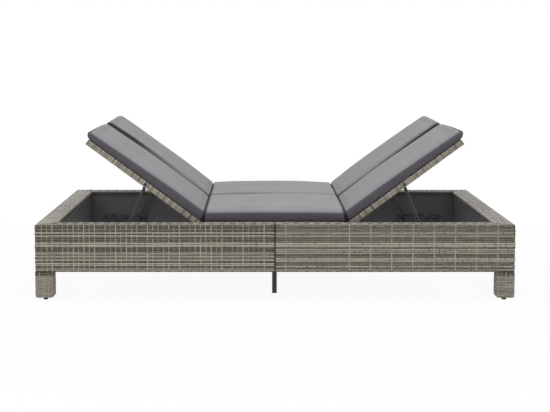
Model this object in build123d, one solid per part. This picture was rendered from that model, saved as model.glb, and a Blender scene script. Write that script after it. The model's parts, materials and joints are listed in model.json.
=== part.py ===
from build123d import *
import math
import os

# Double chaise lounger: a low woven bed frame in two halves, bolted together at the middle.
# Each half has a hinged backrest that drops flush into the frame and is held up by a prop bar.
# Millimetres, +Z up, X along the length, -Y is the front. The origin is on the floor, at the centre.

# Whole lounger
LENGTH = 2000.0  # over both end walls
WIDTH = 1200.0  # over the front and rear walls
RIM_HEIGHT = 320.0  # floor to the top of the woven rim
WALL_FOOT = 121.0  # floor to the lower edge of the woven walls
RIM_WIDTH = 90.0
LEG_WIDTH = 78.0  # each leg's side
CORNER_RADIUS = 12.0  # upright outer corners of the walls and legs

# Woven skins
WEAVE = 4.0  # thickness of the weave on walls and legs
RIM_EDGE_RADIUS = 7.0  # rounding along the rim's edges
RIM_RETURN = 24.0  # how far the weave turns down inside the rim
FOOT_RETURN = 28.0  # how far the weave turns in under the wall
LEG_FOOT_RADIUS = 9.0  # rounding round the foot of each leg
SEAM_GAP = 3.0  # open seam between the weave of the two halves

# Steel tube, welded
TUBE = 20.0  # side of the square tube
TUBE_WALL = 1.2
POST = 15.0  # side of the small square tube in the legs
POST_WALL = 1.2
LEG_PLATE = 2.0  # thickness of the plate at the foot of each leg
LINER = 1.5  # thickness of the dark sheet that closes the inside of the walls
UPRIGHT_SHARE = 0.65  # place of the upright that backs the ratchet rails, as a share of the half length
END_TIE_SHARE = 0.2  # place of the end wall's uprights, as a share of the width

# Feet
GLIDE_HEIGHT = 12.0
GLIDE_RADIUS = 10.0
GLIDE_ROUND = 2.0
GLIDE_STEM_RADIUS = 4.0
GLIDE_STEM = 12.0
CENTRE_LEG_INSET = 80.0  # rim's inner edge to the centre leg
PLUG_FLANGE = 3.0
PLUG_INSERT = 16.0
LEG_HEAD_WIDTH = 44.0  # the centre leg's top plate, along X
LEG_HEAD_DEPTH = 60.0
LEG_HEAD = 3.0

# Panels: the backrests and the seat decks, tube frames wrapped in weave
PANEL_WRAP = 2.0
PANEL_DROP = 2.0  # the panels' top below the rim's top
PANEL_SIDE_GAP = 5.0
PANEL_TIP_GAP = 5.0
PANEL_END_GAP = 18.0  # hinge axis to the seat deck
BACK_END_GAP = 10.5  # hinge axis to the backrest's lower edge
BACK_STAY_SHARES = (0.34, 0.67)
SEAT_STAY_SHARES = (0.5,)

# Hinges
HINGE_X = 314.0  # centre line to each hinge axis
BACK_ANGLE = 36.5  # the backrests' upper place, from flat
HINGE_SHARES = (-0.76, 0.0, 0.76)  # places, as shares of half the panel's width
BEAM_WIDTH = 40.0
BEAM_OUTER_GAP = 5.0  # hinge axis to the beam's outer side
EAR = 4.0
EAR_RADIUS = 9.0
LUG = 6.0
LUG_RADIUS = 8.0
HINGE_SIDE_GAP = 0.5
SLOT_GAP = 1.5  # round a lug, where it passes the weave
BOLT_RADIUS = 4.0
BOLT_HEAD_RADIUS = 6.5
BOLT_HEAD = 4.0
NUT_FLATS = 13.0
NUT = 6.0
BOLT_TAIL = 2.0
RUNNING_GAP = 0.06  # radial, round a pin that turns
FIXED_GAP = 0.05  # radial, round a bolt that doesn't

# Prop bars
BAR_RISE = 69.0  # the walls' foot to the cross bar's axis, in the notches
PROP_SLOPE = 68.2  # degrees below level, when the backrest is up
FOLDED_GAP = 16.4  # the folded cross bar to the end wall's liner
PROP_ARM_RADIUS = 7.0
PROP_BAR_RADIUS = 8.0
PROP_TUBE_WALL = 1.2
PROP_ARM_GAP = 1.0  # between an arm's boss and the backrest's side
PROP_HEAD = 3.0
PROP_BOSS_RADIUS = 9.0
PROP_BOSS = 16.0  # width of the boss at an arm's upper end

# Ratchet rails
NOTCH_SHARES = (1.0, 0.82, 0.64, 0.465)  # backrest angles that the notches give, as shares of the upper one
NOTCH_GAP = 1.5
RAIL_THICKNESS = 12.0
RAIL_ABOVE = 9.0  # rail's top above the bar's axis
RAIL_BELOW = 26.0
RAIL_OVERHANG = 22.0
RAIL_BAR_GAP = 0.5
SCREW_RADIUS = 2.5
SCREW_HEAD_RADIUS = 5.0
SCREW_HEAD = 2.5
SCREW_INSET = 9.0

# Cushions
SEAT_CUSHION_HEIGHT = 64.0  # at the crown
BACK_CUSHION_HEIGHT = 54.0
CUSHION_EDGE_SHARE = 0.76  # height of the long edges, as a share of the crown
CUSHION_END_SHARE = 0.88  # height of the ends
CUSHION_MID_GAP = 3.0  # between the front and rear cushions
CUSHION_SIDE_GAP = 2.0  # panel's side to the cushion
CUSHION_TIP_GAP = 1.0
CUSHION_END_START = 3.0  # hinge axis to the back cushion's lower edge
CUSHION_MEET_GAP = 1.0
CUSHION_TOP_RADIUS = 19.0  # along the long sides
CUSHION_END_RADIUS = 10.0  # along the ends
CUSHION_FOOT_RADIUS = 6.0
CUSHION_DRAWN_IN = 5.0  # how far the long sides bow in between the corners
CUSHION_TIP_LEAN = 14.0  # degrees, how far the back cushion's upper end leans out over the panel's tip
CUSHION_CORNER_RADIUS = 22.0  # in plan
CUSHION_SHOULDER = 100.0  # from a long side to where the top stops falling away
CUSHION_TOP_SPARE = 5.0  # how far the section across would stand above the crown
COVER = 1.6  # fabric cover
FOAM_GAP = 0.8

# Bolts that join the halves
JOINT_INSET = 101.0  # panel's side to the outermost bolt
JOINT_SHARES = (-1.0, -0.375, 0.375, 1.0)  # places, as shares of the outermost one's
SEAM_BOLT_RADIUS = 4.0

OVERRUN = 5.0  # how far a cutter runs past what it cuts

# Places worked out from the sizes
HALF_LENGTH = LENGTH / 2
HALF_WIDTH = WIDTH / 2
OUTER_TUBE = (WEAVE, WEAVE + TUBE)  # offsets in from the wall's outer face
INNER_TUBE = (RIM_WIDTH - WEAVE - TUBE, RIM_WIDTH - WEAVE)
NEAR_POST = (WEAVE, WEAVE + POST)
FAR_POST = (LEG_WIDTH - WEAVE - POST, LEG_WIDTH - WEAVE)
TOP_RAIL = (RIM_HEIGHT - WEAVE - TUBE, RIM_HEIGHT - WEAVE)
LOW_RAIL = (WALL_FOOT + WEAVE, WALL_FOOT + WEAVE + TUBE)
LINER_FACE = RIM_WIDTH - WEAVE + LINER  # offset of the liner's inner face
LINER_TOP = RIM_HEIGHT - RIM_RETURN
PANEL = TUBE + 2 * PANEL_WRAP
HALF_PANEL = PANEL / 2
PANEL_TOP = RIM_HEIGHT - PANEL_DROP
PANEL_FOOT = PANEL_TOP - PANEL
HINGE_Z = PANEL_TOP - HALF_PANEL
PANEL_HALF_WIDTH = HALF_WIDTH - RIM_WIDTH - PANEL_SIDE_GAP
BACK_LENGTH = HALF_LENGTH - RIM_WIDTH - PANEL_TIP_GAP - HINGE_X - BACK_END_GAP
SEAT_LENGTH = HINGE_X - PANEL_END_GAP
BEAM_Z = (PANEL_FOOT - TUBE, PANEL_FOOT)
BEAM_X = (-HINGE_X - BEAM_OUTER_GAP, -HINGE_X - BEAM_OUTER_GAP + BEAM_WIDTH)
BEAM_HALF = HALF_WIDTH - LINER_FACE
RAIL_FACE = BEAM_HALF - RAIL_THICKNESS
ARM_Y = PANEL_HALF_WIDTH - PANEL - PROP_ARM_GAP - PROP_BOSS / 2
BAR_HEIGHT = WALL_FOOT + BAR_RISE
BAR_DROP = HINGE_Z - BAR_HEIGHT
JOINT_REACH = PANEL_HALF_WIDTH - JOINT_INSET
CENTRE_LEG_Y = HALF_WIDTH - RIM_WIDTH - CENTRE_LEG_INSET
UPRIGHT_X = -HALF_LENGTH * UPRIGHT_SHARE


def prop_sizes():
    """Hinge axis to the prop's pivot, and pivot to cross bar.

    Raised, the prop stands at its slope with its bar in the notches. Folded, its bar lies at that
    height and keeps its gap to the end wall. The two give a square equation in the pivot's reach.
    """
    rise = math.sin(math.radians(BACK_ANGLE))
    steep = math.sin(math.radians(PROP_SLOPE))
    room = HALF_LENGTH - LINER_FACE - FOLDED_GAP - PROP_BAR_RADIUS - HINGE_X
    a = (rise / steep) ** 2 - 1
    b = 2 * BAR_DROP * rise / steep ** 2 + 2 * room
    c = (BAR_DROP / steep) ** 2 - BAR_DROP ** 2 - room ** 2
    reach = (math.sqrt(b * b - 4 * a * c) - b) / (2 * a)
    return reach, (BAR_DROP + reach * rise) / steep


PROP_REACH, PROP_LENGTH = prop_sizes()


def turn(degrees, point):
    """A point given along and across the backrest, as X and Z from the hinge axis on the left side."""
    c, s = math.cos(math.radians(degrees)), math.sin(math.radians(degrees))
    along, across = point
    return -along * c + across * s, along * s + across * c


def prop_fall(degrees):
    """The prop's slope below level when its bar lies in the notch for that backrest angle."""
    rise = BAR_DROP + PROP_REACH * math.sin(math.radians(degrees))
    return math.asin(rise / PROP_LENGTH)


def bar_place(degrees):
    """X of the prop's cross bar, on the left side, at that backrest angle."""
    x, _ = turn(degrees, (PROP_REACH, 0))
    return -HINGE_X + x - PROP_LENGTH * math.cos(prop_fall(degrees))


def block(x, y, z):
    """A box between two values on each axis."""
    centre = [(a + b) / 2 for a, b in (x, y, z)]
    return Pos(*centre) * Box(*[abs(b - a) for a, b in (x, y, z)])


def tube(x, y, z, along, wall=TUBE_WALL):
    """A square tube, open at its ends, that runs along the named axis."""
    spans = {"x": x, "y": y, "z": z}
    bore = {
        k: (min(v) - OVERRUN, max(v) + OVERRUN) if k == along else (min(v) + wall, max(v) - wall)
        for k, v in spans.items()
    }
    return block(x, y, z) - block(bore["x"], bore["y"], bore["z"])


def rod_y(x, z, y, radius):
    """A round bar along Y between two values."""
    length = abs(y[1] - y[0])
    return Pos(x, (y[0] + y[1]) / 2, z) * Rot(90, 0, 0) * Cylinder(radius, length)


def rod_x(x, y, z, radius):
    """A round bar along X between two values."""
    return Pos((x[0] + x[1]) / 2, y, z) * Rot(0, 90, 0) * Cylinder(radius, abs(x[1] - x[0]))


def rod_z(x, y, z, radius):
    """A round bar along Z between two values."""
    return Pos(x, y, (z[0] + z[1]) / 2) * Cylinder(radius, abs(z[1] - z[0]))


def nut_y(x, z, y, radius):
    """A hexagon nut on a bolt along Y, with its bore."""
    depth = abs(y[1] - y[0])
    hexagon = extrude(RegularPolygon(NUT_FLATS / 2, 6, major_radius=False), depth / 2, both=True)
    solid = Pos(x, (y[0] + y[1]) / 2, z) * Rot(90, 0, 0) * hexagon
    return solid - rod_y(x, z, (min(y) - OVERRUN, max(y) + OVERRUN), radius + FIXED_GAP)


def inset_x(offset):
    """X of a plane that lies that far in from the left end wall's outer face."""
    return -HALF_LENGTH + offset


def inset_y(offset):
    """Y of a plane that lies that far in from the front wall's outer face."""
    return -HALF_WIDTH + offset


def front_and_rear(pieces):
    """The pieces, and their mirror images at the rear."""
    return list(pieces) + [mirror(p, about=Plane.XZ) for p in pieces]


# Woven skins


def wall_outline():
    """The weave's section across a wall: outer face, rim, and both returns, as offset in and height."""
    rim, foot = RIM_HEIGHT, WALL_FOOT
    points = [
        (0, foot),
        (0, rim),
        (RIM_WIDTH, rim),
        (RIM_WIDTH, rim - RIM_RETURN),
        (RIM_WIDTH - WEAVE, rim - RIM_RETURN),
        (RIM_WIDTH - WEAVE, rim - WEAVE),
        (WEAVE, rim - WEAVE),
        (WEAVE, foot + WEAVE),
        (FOOT_RETURN, foot + WEAVE),
        (FOOT_RETURN, foot),
    ]
    flat = make_face(Polyline(*points, close=True))
    corners = flat.vertices()
    outer = list(corners.group_by(Axis.X)[0]) + [corners.sort_by(lambda v: v.X + v.Y)[-1]]
    return fillet(outer, RIM_EDGE_RADIUS)


def footprint():
    """The whole lounger's plan with its rounded corners, as a tall block."""
    tall = block((-HALF_LENGTH, HALF_LENGTH), (-HALF_WIDTH, HALF_WIDTH), (0, RIM_HEIGHT + OVERRUN))
    return fillet(tall.edges().filter_by(Axis.Z), CORNER_RADIUS)


def mitre(points):
    """A tall prism over a wall's plan, which cuts the wall to its mitred ends."""
    return extrude(make_face(Polyline(*points, close=True)), RIM_HEIGHT + OVERRUN, Plane.XY.z_dir)


def leg_core():
    """What the front left leg's posts fill, below the walls' lower rails."""
    span = (WEAVE, LEG_WIDTH - WEAVE)
    x, y = [inset_x(o) for o in span], [inset_y(o) for o in span]
    return block(x, y, (0, WALL_FOOT + WEAVE))


def front_weave():
    """Weave of the left half's front wall."""
    plane = Plane(origin=(-SEAM_GAP / 2, -HALF_WIDTH, 0), x_dir=(0, 1, 0), z_dir=(1, 0, 0))
    run = extrude(plane * wall_outline(), -(HALF_LENGTH - SEAM_GAP / 2))
    end, near = -HALF_LENGTH, -HALF_WIDTH
    plan = [(end, near), (-SEAM_GAP / 2, near), (-SEAM_GAP / 2, inset_y(RIM_WIDTH)),
            (inset_x(RIM_WIDTH), inset_y(RIM_WIDTH))]
    return (run & mitre(plan) & footprint()) - leg_core()


def end_weave():
    """Weave of the left end wall."""
    plane = Plane(origin=(-HALF_LENGTH, -HALF_WIDTH, 0), x_dir=(1, 0, 0), z_dir=(0, -1, 0))
    run = extrude(plane * wall_outline(), -WIDTH)
    end, inner = -HALF_LENGTH, inset_x(RIM_WIDTH)
    plan = [(end, -HALF_WIDTH), (inner, inset_y(RIM_WIDTH)), (inner, -inset_y(RIM_WIDTH)), (end, HALF_WIDTH)]
    core = leg_core()
    return (run & mitre(plan) & footprint()) - core - mirror(core, about=Plane.XZ)


def leg_weave():
    """Woven sleeve of the front left leg, closed below apart from the glide's hole."""
    span = (0, LEG_WIDTH)
    inner = (WEAVE, LEG_WIDTH - WEAVE)
    sleeve = block([inset_x(o) for o in span], [inset_y(o) for o in span], (GLIDE_HEIGHT, WALL_FOOT))
    sleeve = fillet(sleeve.edges().filter_by(Axis.Z), CORNER_RADIUS)
    sleeve = fillet(sleeve.edges().group_by(Axis.Z)[0], LEG_FOOT_RADIUS)
    hollow = block([inset_x(o) for o in inner], [inset_y(o) for o in inner],
                   (GLIDE_HEIGHT + WEAVE, WALL_FOOT + OVERRUN))
    middle = LEG_WIDTH / 2
    hole = rod_z(inset_x(middle), inset_y(middle), (0, WALL_FOOT), GLIDE_STEM_RADIUS + FIXED_GAP)
    return sleeve - hollow - hole


# Steel frame of the left half


def ring(z, posts):
    """Tubes round a half's walls at one level, front, rear and end, outer and inner, with their ties."""
    pieces = []
    for near, far in (OUTER_TUBE, INNER_TUBE):
        start = inset_x(FAR_POST[1]) if posts else inset_x(near)
        pieces += front_and_rear([tube((start, 0), (inset_y(near), inset_y(far)), z, "x")])
        reach = HALF_WIDTH - (max(far, FAR_POST[1]) if posts else far)
        pieces.append(tube((inset_x(near), inset_x(far)), (-reach, reach), z, "y"))
    tie_y = (inset_y(OUTER_TUBE[1]), inset_y(INNER_TUBE[0]))
    ties = [tube(x, tie_y, z, "y") for x in upright_places()]
    pieces += front_and_rear(ties)
    tie_x = (inset_x(OUTER_TUBE[1]), inset_x(INNER_TUBE[0]))
    pieces += front_and_rear([tube(tie_x, end_upright_place(), z, "x")])
    return pieces


def upright_places():
    """X spans of the front wall's uprights: at the seam, the hinge beam and the ratchet rail."""
    return [(-TUBE, 0), (BEAM_X[0], BEAM_X[0] + TUBE), (UPRIGHT_X - TUBE, UPRIGHT_X)]


def end_upright_place():
    """Y span of the end wall's front upright."""
    middle = -WIDTH * END_TIE_SHARE
    return (middle - TUBE / 2, middle + TUBE / 2)


def wall_uprights():
    """Upright tubes between the lower and upper rails."""
    z = (LOW_RAIL[1], TOP_RAIL[0])
    pieces = []
    for near, far in (OUTER_TUBE, INNER_TUBE):
        y = (inset_y(near), inset_y(far))
        pieces += front_and_rear([tube(x, y, z, "z") for x in upright_places()])
        x = (inset_x(near), inset_x(far))
        pieces += front_and_rear([tube(x, end_upright_place(), z, "z")])
    return pieces


def leg_frames():
    """Four posts on a foot plate, inside each leg."""
    foot = GLIDE_HEIGHT + WEAVE
    span = (WEAVE, LEG_WIDTH - WEAVE)
    plate = block([inset_x(o) for o in span], [inset_y(o) for o in span], (foot, foot + LEG_PLATE))
    middle = LEG_WIDTH / 2
    plate -= rod_z(inset_x(middle), inset_y(middle), (0, WALL_FOOT), GLIDE_STEM_RADIUS + FIXED_GAP)
    z = (foot + LEG_PLATE, TOP_RAIL[0])
    posts = [
        tube([inset_x(o) for o in across], [inset_y(o) for o in deep], z, "z", POST_WALL)
        for across in (NEAR_POST, FAR_POST)
        for deep in (NEAR_POST, FAR_POST)
    ]
    return front_and_rear([plate] + posts)


def liners():
    """Dark sheets on the inner rails: front, rear and end."""
    z = (WALL_FOOT + WEAVE, LINER_TOP)
    inner, face = RIM_WIDTH - WEAVE, LINER_FACE
    side = block((inset_x(face), 0), (inset_y(inner), inset_y(face)), z)
    for x in screw_places():
        side -= rod_y(x, screw_height(), (-HALF_WIDTH, 0), SCREW_RADIUS + FIXED_GAP)
    end = block((inset_x(inner), inset_x(face)), (inset_y(inner), -inset_y(inner)), z)
    return front_and_rear([side]) + [end]


def hinge_beam():
    """Cross tube under the seat deck's edge, with a pair of ears at each hinge."""
    beam = tube(BEAM_X, (-BEAM_HALF, BEAM_HALF), BEAM_Z, "y")
    for share in HINGE_SHARES:
        middle = share * PANEL_HALF_WIDTH
        near = LUG / 2 + HINGE_SIDE_GAP
        for side in (-1, 1):
            y = sorted((middle + side * near, middle + side * (near + EAR)))
            stem = block((-HINGE_X - EAR_RADIUS, -HINGE_X + EAR_RADIUS), y, (BEAM_Z[1], HINGE_Z))
            ear = stem + rod_y(-HINGE_X, HINGE_Z, y, EAR_RADIUS)
            beam += ear - rod_y(-HINGE_X, HINGE_Z, (y[0] - OVERRUN, y[1] + OVERRUN), BOLT_RADIUS + FIXED_GAP)
    return beam


def joint_beam():
    """Cross tube at the seam, bolted to the other half's."""
    beam = tube((-TUBE, 0), (-BEAM_HALF, BEAM_HALF), BEAM_Z, "y")
    height = (BEAM_Z[0] + BEAM_Z[1]) / 2
    for share in JOINT_SHARES:
        beam -= rod_x((-TUBE - OVERRUN, OVERRUN), share * JOINT_REACH, height,
                      SEAM_BOLT_RADIUS + FIXED_GAP)
    for side in (-1, 1):
        x, y = leg_screw_place(side)
        beam -= rod_z(x, y, (BEAM_Z[0] - OVERRUN, BEAM_Z[0] + OVERRUN), SCREW_RADIUS + FIXED_GAP)
    return beam


# Panels


def panel_tubes(length, half_width, stay_shares):
    """Tubes of a panel that starts at X 0 and runs to -X, with its middle plane at Z 0."""
    half = TUBE / 2
    z = (-half, half)
    ends = (-PANEL_WRAP, -length + PANEL_WRAP)
    side = (half_width - PANEL_WRAP - TUBE, half_width - PANEL_WRAP)
    between = (-side[0], side[0])
    tubes = [tube(ends, side, z, "x"), tube(ends, (-side[1], -side[0]), z, "x")]
    tubes.append(tube((ends[0], ends[0] - TUBE), between, z, "y"))
    tubes.append(tube((ends[1], ends[1] + TUBE), between, z, "y"))
    for share in stay_shares:
        middle = -length * share
        tubes.append(tube((middle - half, middle + half), between, z, "y"))
    return tubes


def panel_weave(length, half_width, stay_shares):
    """Weave over a panel: a sheet on top, and a wrap round each edge tube."""
    edge = PANEL_WRAP + TUBE
    slab = block((0, -length), (-half_width, half_width), (-HALF_PANEL, HALF_PANEL))
    slab = fillet(slab.edges().filter_by(Axis.X) + slab.edges().filter_by(Axis.Y), PANEL_WRAP)
    deep = (-HALF_PANEL - OVERRUN, HALF_PANEL - PANEL_WRAP)
    inner = half_width - edge - PANEL_WRAP
    slab -= block((-edge - PANEL_WRAP, -length + edge + PANEL_WRAP), (-inner, inner), deep)
    half = TUBE / 2
    side, core = half_width - PANEL_WRAP, half_width - edge
    cavity = block((-PANEL_WRAP, -length + PANEL_WRAP), (-side, side), (-half, half))
    cavity -= block((-edge, -length + edge), (-core, core), (-HALF_PANEL, HALF_PANEL))
    for share in stay_shares:
        middle = -length * share
        cavity += block((middle - half, middle + half), (-core, core), (-half, half))
    return slab - cavity


def seat_deck():
    """The left seat deck's tubes and weave, in place."""
    place = Pos(0, 0, HINGE_Z)
    tubes = [place * t for t in panel_tubes(SEAT_LENGTH, PANEL_HALF_WIDTH, SEAT_STAY_SHARES)]
    return tubes, place * panel_weave(SEAT_LENGTH, PANEL_HALF_WIDTH, SEAT_STAY_SHARES)


def raised():
    """Carries a piece made flat, from the hinge axis towards -X, to the left backrest's upper place."""
    return Pos(-HINGE_X, 0, HINGE_Z) * Rot(0, BACK_ANGLE, 0)


def lugs():
    """Plates on the backrest's lower tube that turn on the hinge bolts, made flat."""
    pieces = []
    for share in HINGE_SHARES:
        middle = share * PANEL_HALF_WIDTH
        y = (middle - LUG / 2, middle + LUG / 2)
        plate = block((0, -BACK_END_GAP - PANEL_WRAP), y, (-LUG_RADIUS, LUG_RADIUS))
        plate += rod_y(0, 0, y, LUG_RADIUS)
        pieces.append(plate - rod_y(0, 0, (y[0] - OVERRUN, y[1] + OVERRUN), BOLT_RADIUS + RUNNING_GAP))
    return pieces


def pivot_holes():
    """Cutter for the prop bolts through the backrest's sides, made flat."""
    reach = (-PANEL_HALF_WIDTH - OVERRUN, PANEL_HALF_WIDTH + OVERRUN)
    return rod_y(-PROP_REACH, 0, reach, BOLT_RADIUS + FIXED_GAP)


def back_frame():
    """The left backrest's welded tubes with their hinge lugs, raised."""
    place = Pos(-BACK_END_GAP, 0, 0)
    tubes = [place * t for t in panel_tubes(BACK_LENGTH, PANEL_HALF_WIDTH, BACK_STAY_SHARES)]
    tubes = [t - pivot_holes() for t in tubes[:2]] + tubes[2:]
    for lug in lugs():
        tubes[2] += lug
    return [raised() * t for t in tubes]


def back_weave():
    """The left backrest's weave, with a slot at each lug, raised."""
    skin = Pos(-BACK_END_GAP, 0, 0) * panel_weave(BACK_LENGTH, PANEL_HALF_WIDTH, BACK_STAY_SHARES)
    for share in HINGE_SHARES:
        middle = share * PANEL_HALF_WIDTH
        half = LUG / 2 + SLOT_GAP
        deep = LUG_RADIUS + SLOT_GAP
        skin -= block((0, -BACK_END_GAP - PANEL_WRAP), (middle - half, middle + half), (-deep, deep))
    return raised() * (skin - pivot_holes())


# Hinge bolts, props and ratchet rails


def hinge_bolts():
    """A bolt and its nut at each hinge."""
    pieces = []
    for share in HINGE_SHARES:
        middle = share * PANEL_HALF_WIDTH
        reach = LUG / 2 + HINGE_SIDE_GAP + EAR
        tail = middle + reach + NUT + BOLT_TAIL
        bolt = rod_y(-HINGE_X, HINGE_Z, (middle - reach, tail), BOLT_RADIUS)
        bolt += rod_y(-HINGE_X, HINGE_Z, (middle - reach - BOLT_HEAD, middle - reach), BOLT_HEAD_RADIUS)
        pieces += [bolt, nut_y(-HINGE_X, HINGE_Z, (middle + reach, middle + reach + NUT), BOLT_RADIUS)]
    return pieces


def prop():
    """The left prop bar: two arms and a cross bar, in the top notches."""
    x, z = turn(BACK_ANGLE, (PROP_REACH, 0))
    pivot = (-HINGE_X + x, HINGE_Z + z)
    bar = (bar_place(BACK_ANGLE), BAR_HEIGHT)
    half = RAIL_FACE - RAIL_BAR_GAP
    shape = rod_y(*bar, (-half, half), PROP_BAR_RADIUS)
    bores = [rod_y(*bar, (-half - OVERRUN, half + OVERRUN), PROP_BAR_RADIUS - PROP_TUBE_WALL)]
    centre = ((pivot[0] + bar[0]) / 2, (pivot[1] + bar[1]) / 2)
    lean = math.degrees(math.atan2(pivot[0] - bar[0], pivot[1] - bar[1]))
    for side in (-1, 1):
        arm_y = side * ARM_Y
        at = Pos(centre[0], arm_y, centre[1]) * Rot(0, lean, 0)
        shape += at * Cylinder(PROP_ARM_RADIUS, PROP_LENGTH)
        shape += rod_y(*pivot, (arm_y - PROP_BOSS / 2, arm_y + PROP_BOSS / 2), PROP_BOSS_RADIUS)
        bores.append(at * Cylinder(PROP_ARM_RADIUS - PROP_TUBE_WALL, PROP_LENGTH - 2 * PROP_BOSS_RADIUS))
    for bore in bores:
        shape -= bore
    return shape - rod_y(*pivot, (-HALF_WIDTH, HALF_WIDTH), BOLT_RADIUS + RUNNING_GAP)


def prop_bolts():
    """The bolts that the left prop turns on, through the backrest's sides, raised."""
    inner = ARM_Y - PROP_BOSS / 2 - PROP_ARM_GAP
    x = -PROP_REACH
    bolt = rod_y(x, 0, (inner - NUT - BOLT_TAIL, PANEL_HALF_WIDTH), BOLT_RADIUS)
    bolt += rod_y(x, 0, (PANEL_HALF_WIDTH, PANEL_HALF_WIDTH + PROP_HEAD), BOLT_HEAD_RADIUS)
    pieces = front_and_rear([bolt, nut_y(x, 0, (inner - NUT, inner), BOLT_RADIUS)])
    return [raised() * p for p in pieces]


def rail_span():
    """X of the ratchet rail's two ends on the left side."""
    places = [bar_place(share * BACK_ANGLE) for share in NOTCH_SHARES]
    return (min(places) - RAIL_OVERHANG, max(places) + RAIL_OVERHANG)


def screw_places():
    """X of the screws in a ratchet rail."""
    low, high = rail_span()
    return (low + SCREW_INSET, high - SCREW_INSET)


def screw_height():
    """Z of the screws in a ratchet rail."""
    return BAR_HEIGHT - RAIL_BELOW + SCREW_INSET


def ratchet_rail():
    """The front left notched rail. Each notch opens up and towards the hinge."""
    y = (-BEAM_HALF, -RAIL_FACE)
    z = (BAR_HEIGHT - RAIL_BELOW, BAR_HEIGHT + RAIL_ABOVE)
    rail = block(rail_span(), y, z)
    cut = (y[0] - OVERRUN, y[1] + OVERRUN)
    radius = PROP_BAR_RADIUS + NOTCH_GAP
    for share in NOTCH_SHARES:
        x = bar_place(share * BACK_ANGLE)
        rail -= rod_y(x, BAR_HEIGHT, cut, radius)
        mouth = [
            (x - radius, BAR_HEIGHT),
            (x + radius, BAR_HEIGHT),
            (x + 2 * radius, BAR_HEIGHT + RAIL_ABOVE + OVERRUN),
            (x - radius, BAR_HEIGHT + RAIL_ABOVE + OVERRUN),
        ]
        face = Plane.XZ * make_face(Polyline(*mouth, close=True))
        rail -= Pos(0, cut[0], 0) * extrude(face, -(cut[1] - cut[0]))
    sunk = (-RAIL_FACE - SCREW_HEAD, cut[1])
    for x in screw_places():
        rail -= rod_y(x, screw_height(), cut, SCREW_RADIUS + FIXED_GAP)
        rail -= rod_y(x, screw_height(), sunk, SCREW_HEAD_RADIUS + FIXED_GAP)
    return rail


def ratchet_screw(x):
    """A screw through the front left rail and its liner, its head sunk flush."""
    face = -RAIL_FACE
    shank = rod_y(x, screw_height(), (-BEAM_HALF - LINER, face), SCREW_RADIUS)
    return shank + rod_y(x, screw_height(), (face - SCREW_HEAD, face), SCREW_HEAD_RADIUS)


# Cushions


def rounded(face, edge, top, radius):
    """A cushion's section with its upper corners well rounded and its lower ones a little."""
    middle = (edge + top) / 2
    upper = [v for v in face.vertices() if edge / 2 < v.Y < middle]
    face = fillet(upper, radius)
    return fillet([v for v in face.vertices() if v.Y < edge / 4], CUSHION_FOOT_RADIUS)


def long_section(low, high, height, low_slope, high_slope, skin):
    """A cushion's section along the lounger: flat below, leaning ends and a crowned top."""
    edge, top = height * CUSHION_END_SHARE - 2 * skin, height - 2 * skin
    left = (low + edge * low_slope, edge)
    right = (high - edge * high_slope, edge)
    crown = ((left[0] + right[0]) / 2, top)
    outline = [Line((low, 0), (high, 0)), Line((high, 0), right),
               ThreePointArc(right, crown, left), Line(left, (low, 0))]
    return rounded(make_face(outline), edge, top, CUSHION_END_RADIUS - skin)


def wide_section(half, height, skin):
    """A cushion's section across the lounger, whose shoulders fall to the long sides."""
    edge = height * CUSHION_EDGE_SHARE - 2 * skin
    top = height + CUSHION_TOP_SPARE - 2 * skin
    flat = half - CUSHION_SHOULDER
    radius = (CUSHION_SHOULDER ** 2 + (top - edge) ** 2) / (2 * (top - edge))
    outline = [Line((-half, 0), (half, 0)), Line((half, 0), (half, edge)),
               RadiusArc((half, edge), (flat, top), -radius), Line((flat, top), (-flat, top)),
               RadiusArc((-flat, top), (-half, edge), -radius), Line((-half, edge), (-half, 0))]
    return rounded(make_face(outline), edge, top, CUSHION_TOP_RADIUS - skin)


def cushion_plan(low, high, half, skin):
    """A cushion's plan with rounded corners, whose long sides bow in between them."""
    middle, drawn = (low + high) / 2, half - CUSHION_DRAWN_IN
    outline = [
        Line((low, -half), (low, half)),
        ThreePointArc((low, half), (middle, drawn), (high, half)),
        Line((high, half), (high, -half)),
        ThreePointArc((high, -half), (middle, -drawn), (low, -half)),
    ]
    face = make_face(outline)
    return fillet(face.vertices(), CUSHION_CORNER_RADIUS - skin)


def cushion(foot, half_width, height, low_slope, high_slope, skin=0.0):
    """A cushion between two X values, centred on Y 0, its flat side at Z 0, shrunk by skin all round."""
    low, high, half = foot[0] + skin, foot[1] - skin, half_width - skin
    reach = low + min(0, low_slope) * (height * CUSHION_END_SHARE - 2 * skin)
    side_on = Plane(origin=(0, half, 0), x_dir=(1, 0, 0), z_dir=(0, -1, 0))
    section = long_section(low, high, height, low_slope, high_slope, skin)
    along = extrude(side_on * section, 2 * half, side_on.z_dir)
    end_on = Plane(origin=(reach - OVERRUN, 0, 0), x_dir=(0, 1, 0), z_dir=(1, 0, 0))
    across = extrude(end_on * wide_section(half, height, skin), high - reach + 2 * OVERRUN, end_on.z_dir)
    plan = extrude(cushion_plan(reach, high, half, skin), 2 * height, Plane.XY.z_dir)
    return Pos(0, 0, skin) * (along & across & plan)


def cushion_pair(foot, height, low_slope, high_slope):
    """Cover and foam of a front cushion, with its flat side at Z 0."""
    half = (PANEL_HALF_WIDTH - CUSHION_SIDE_GAP - CUSHION_MID_GAP / 2) / 2
    place = Pos(0, -(half + CUSHION_MID_GAP / 2), 0)
    cover = cushion(foot, half, height, low_slope, high_slope)
    cover -= cushion(foot, half, height, low_slope, high_slope, COVER)
    foam = cushion(foot, half, height, low_slope, high_slope, COVER + FOAM_GAP)
    return place * cover, place * Pos(0, 0, -FOAM_GAP) * foam


def meeting_slope():
    """Lean of the cushions' meeting ends, so that they close up when the backrest is raised."""
    return math.tan(math.radians(BACK_ANGLE / 2))


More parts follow.
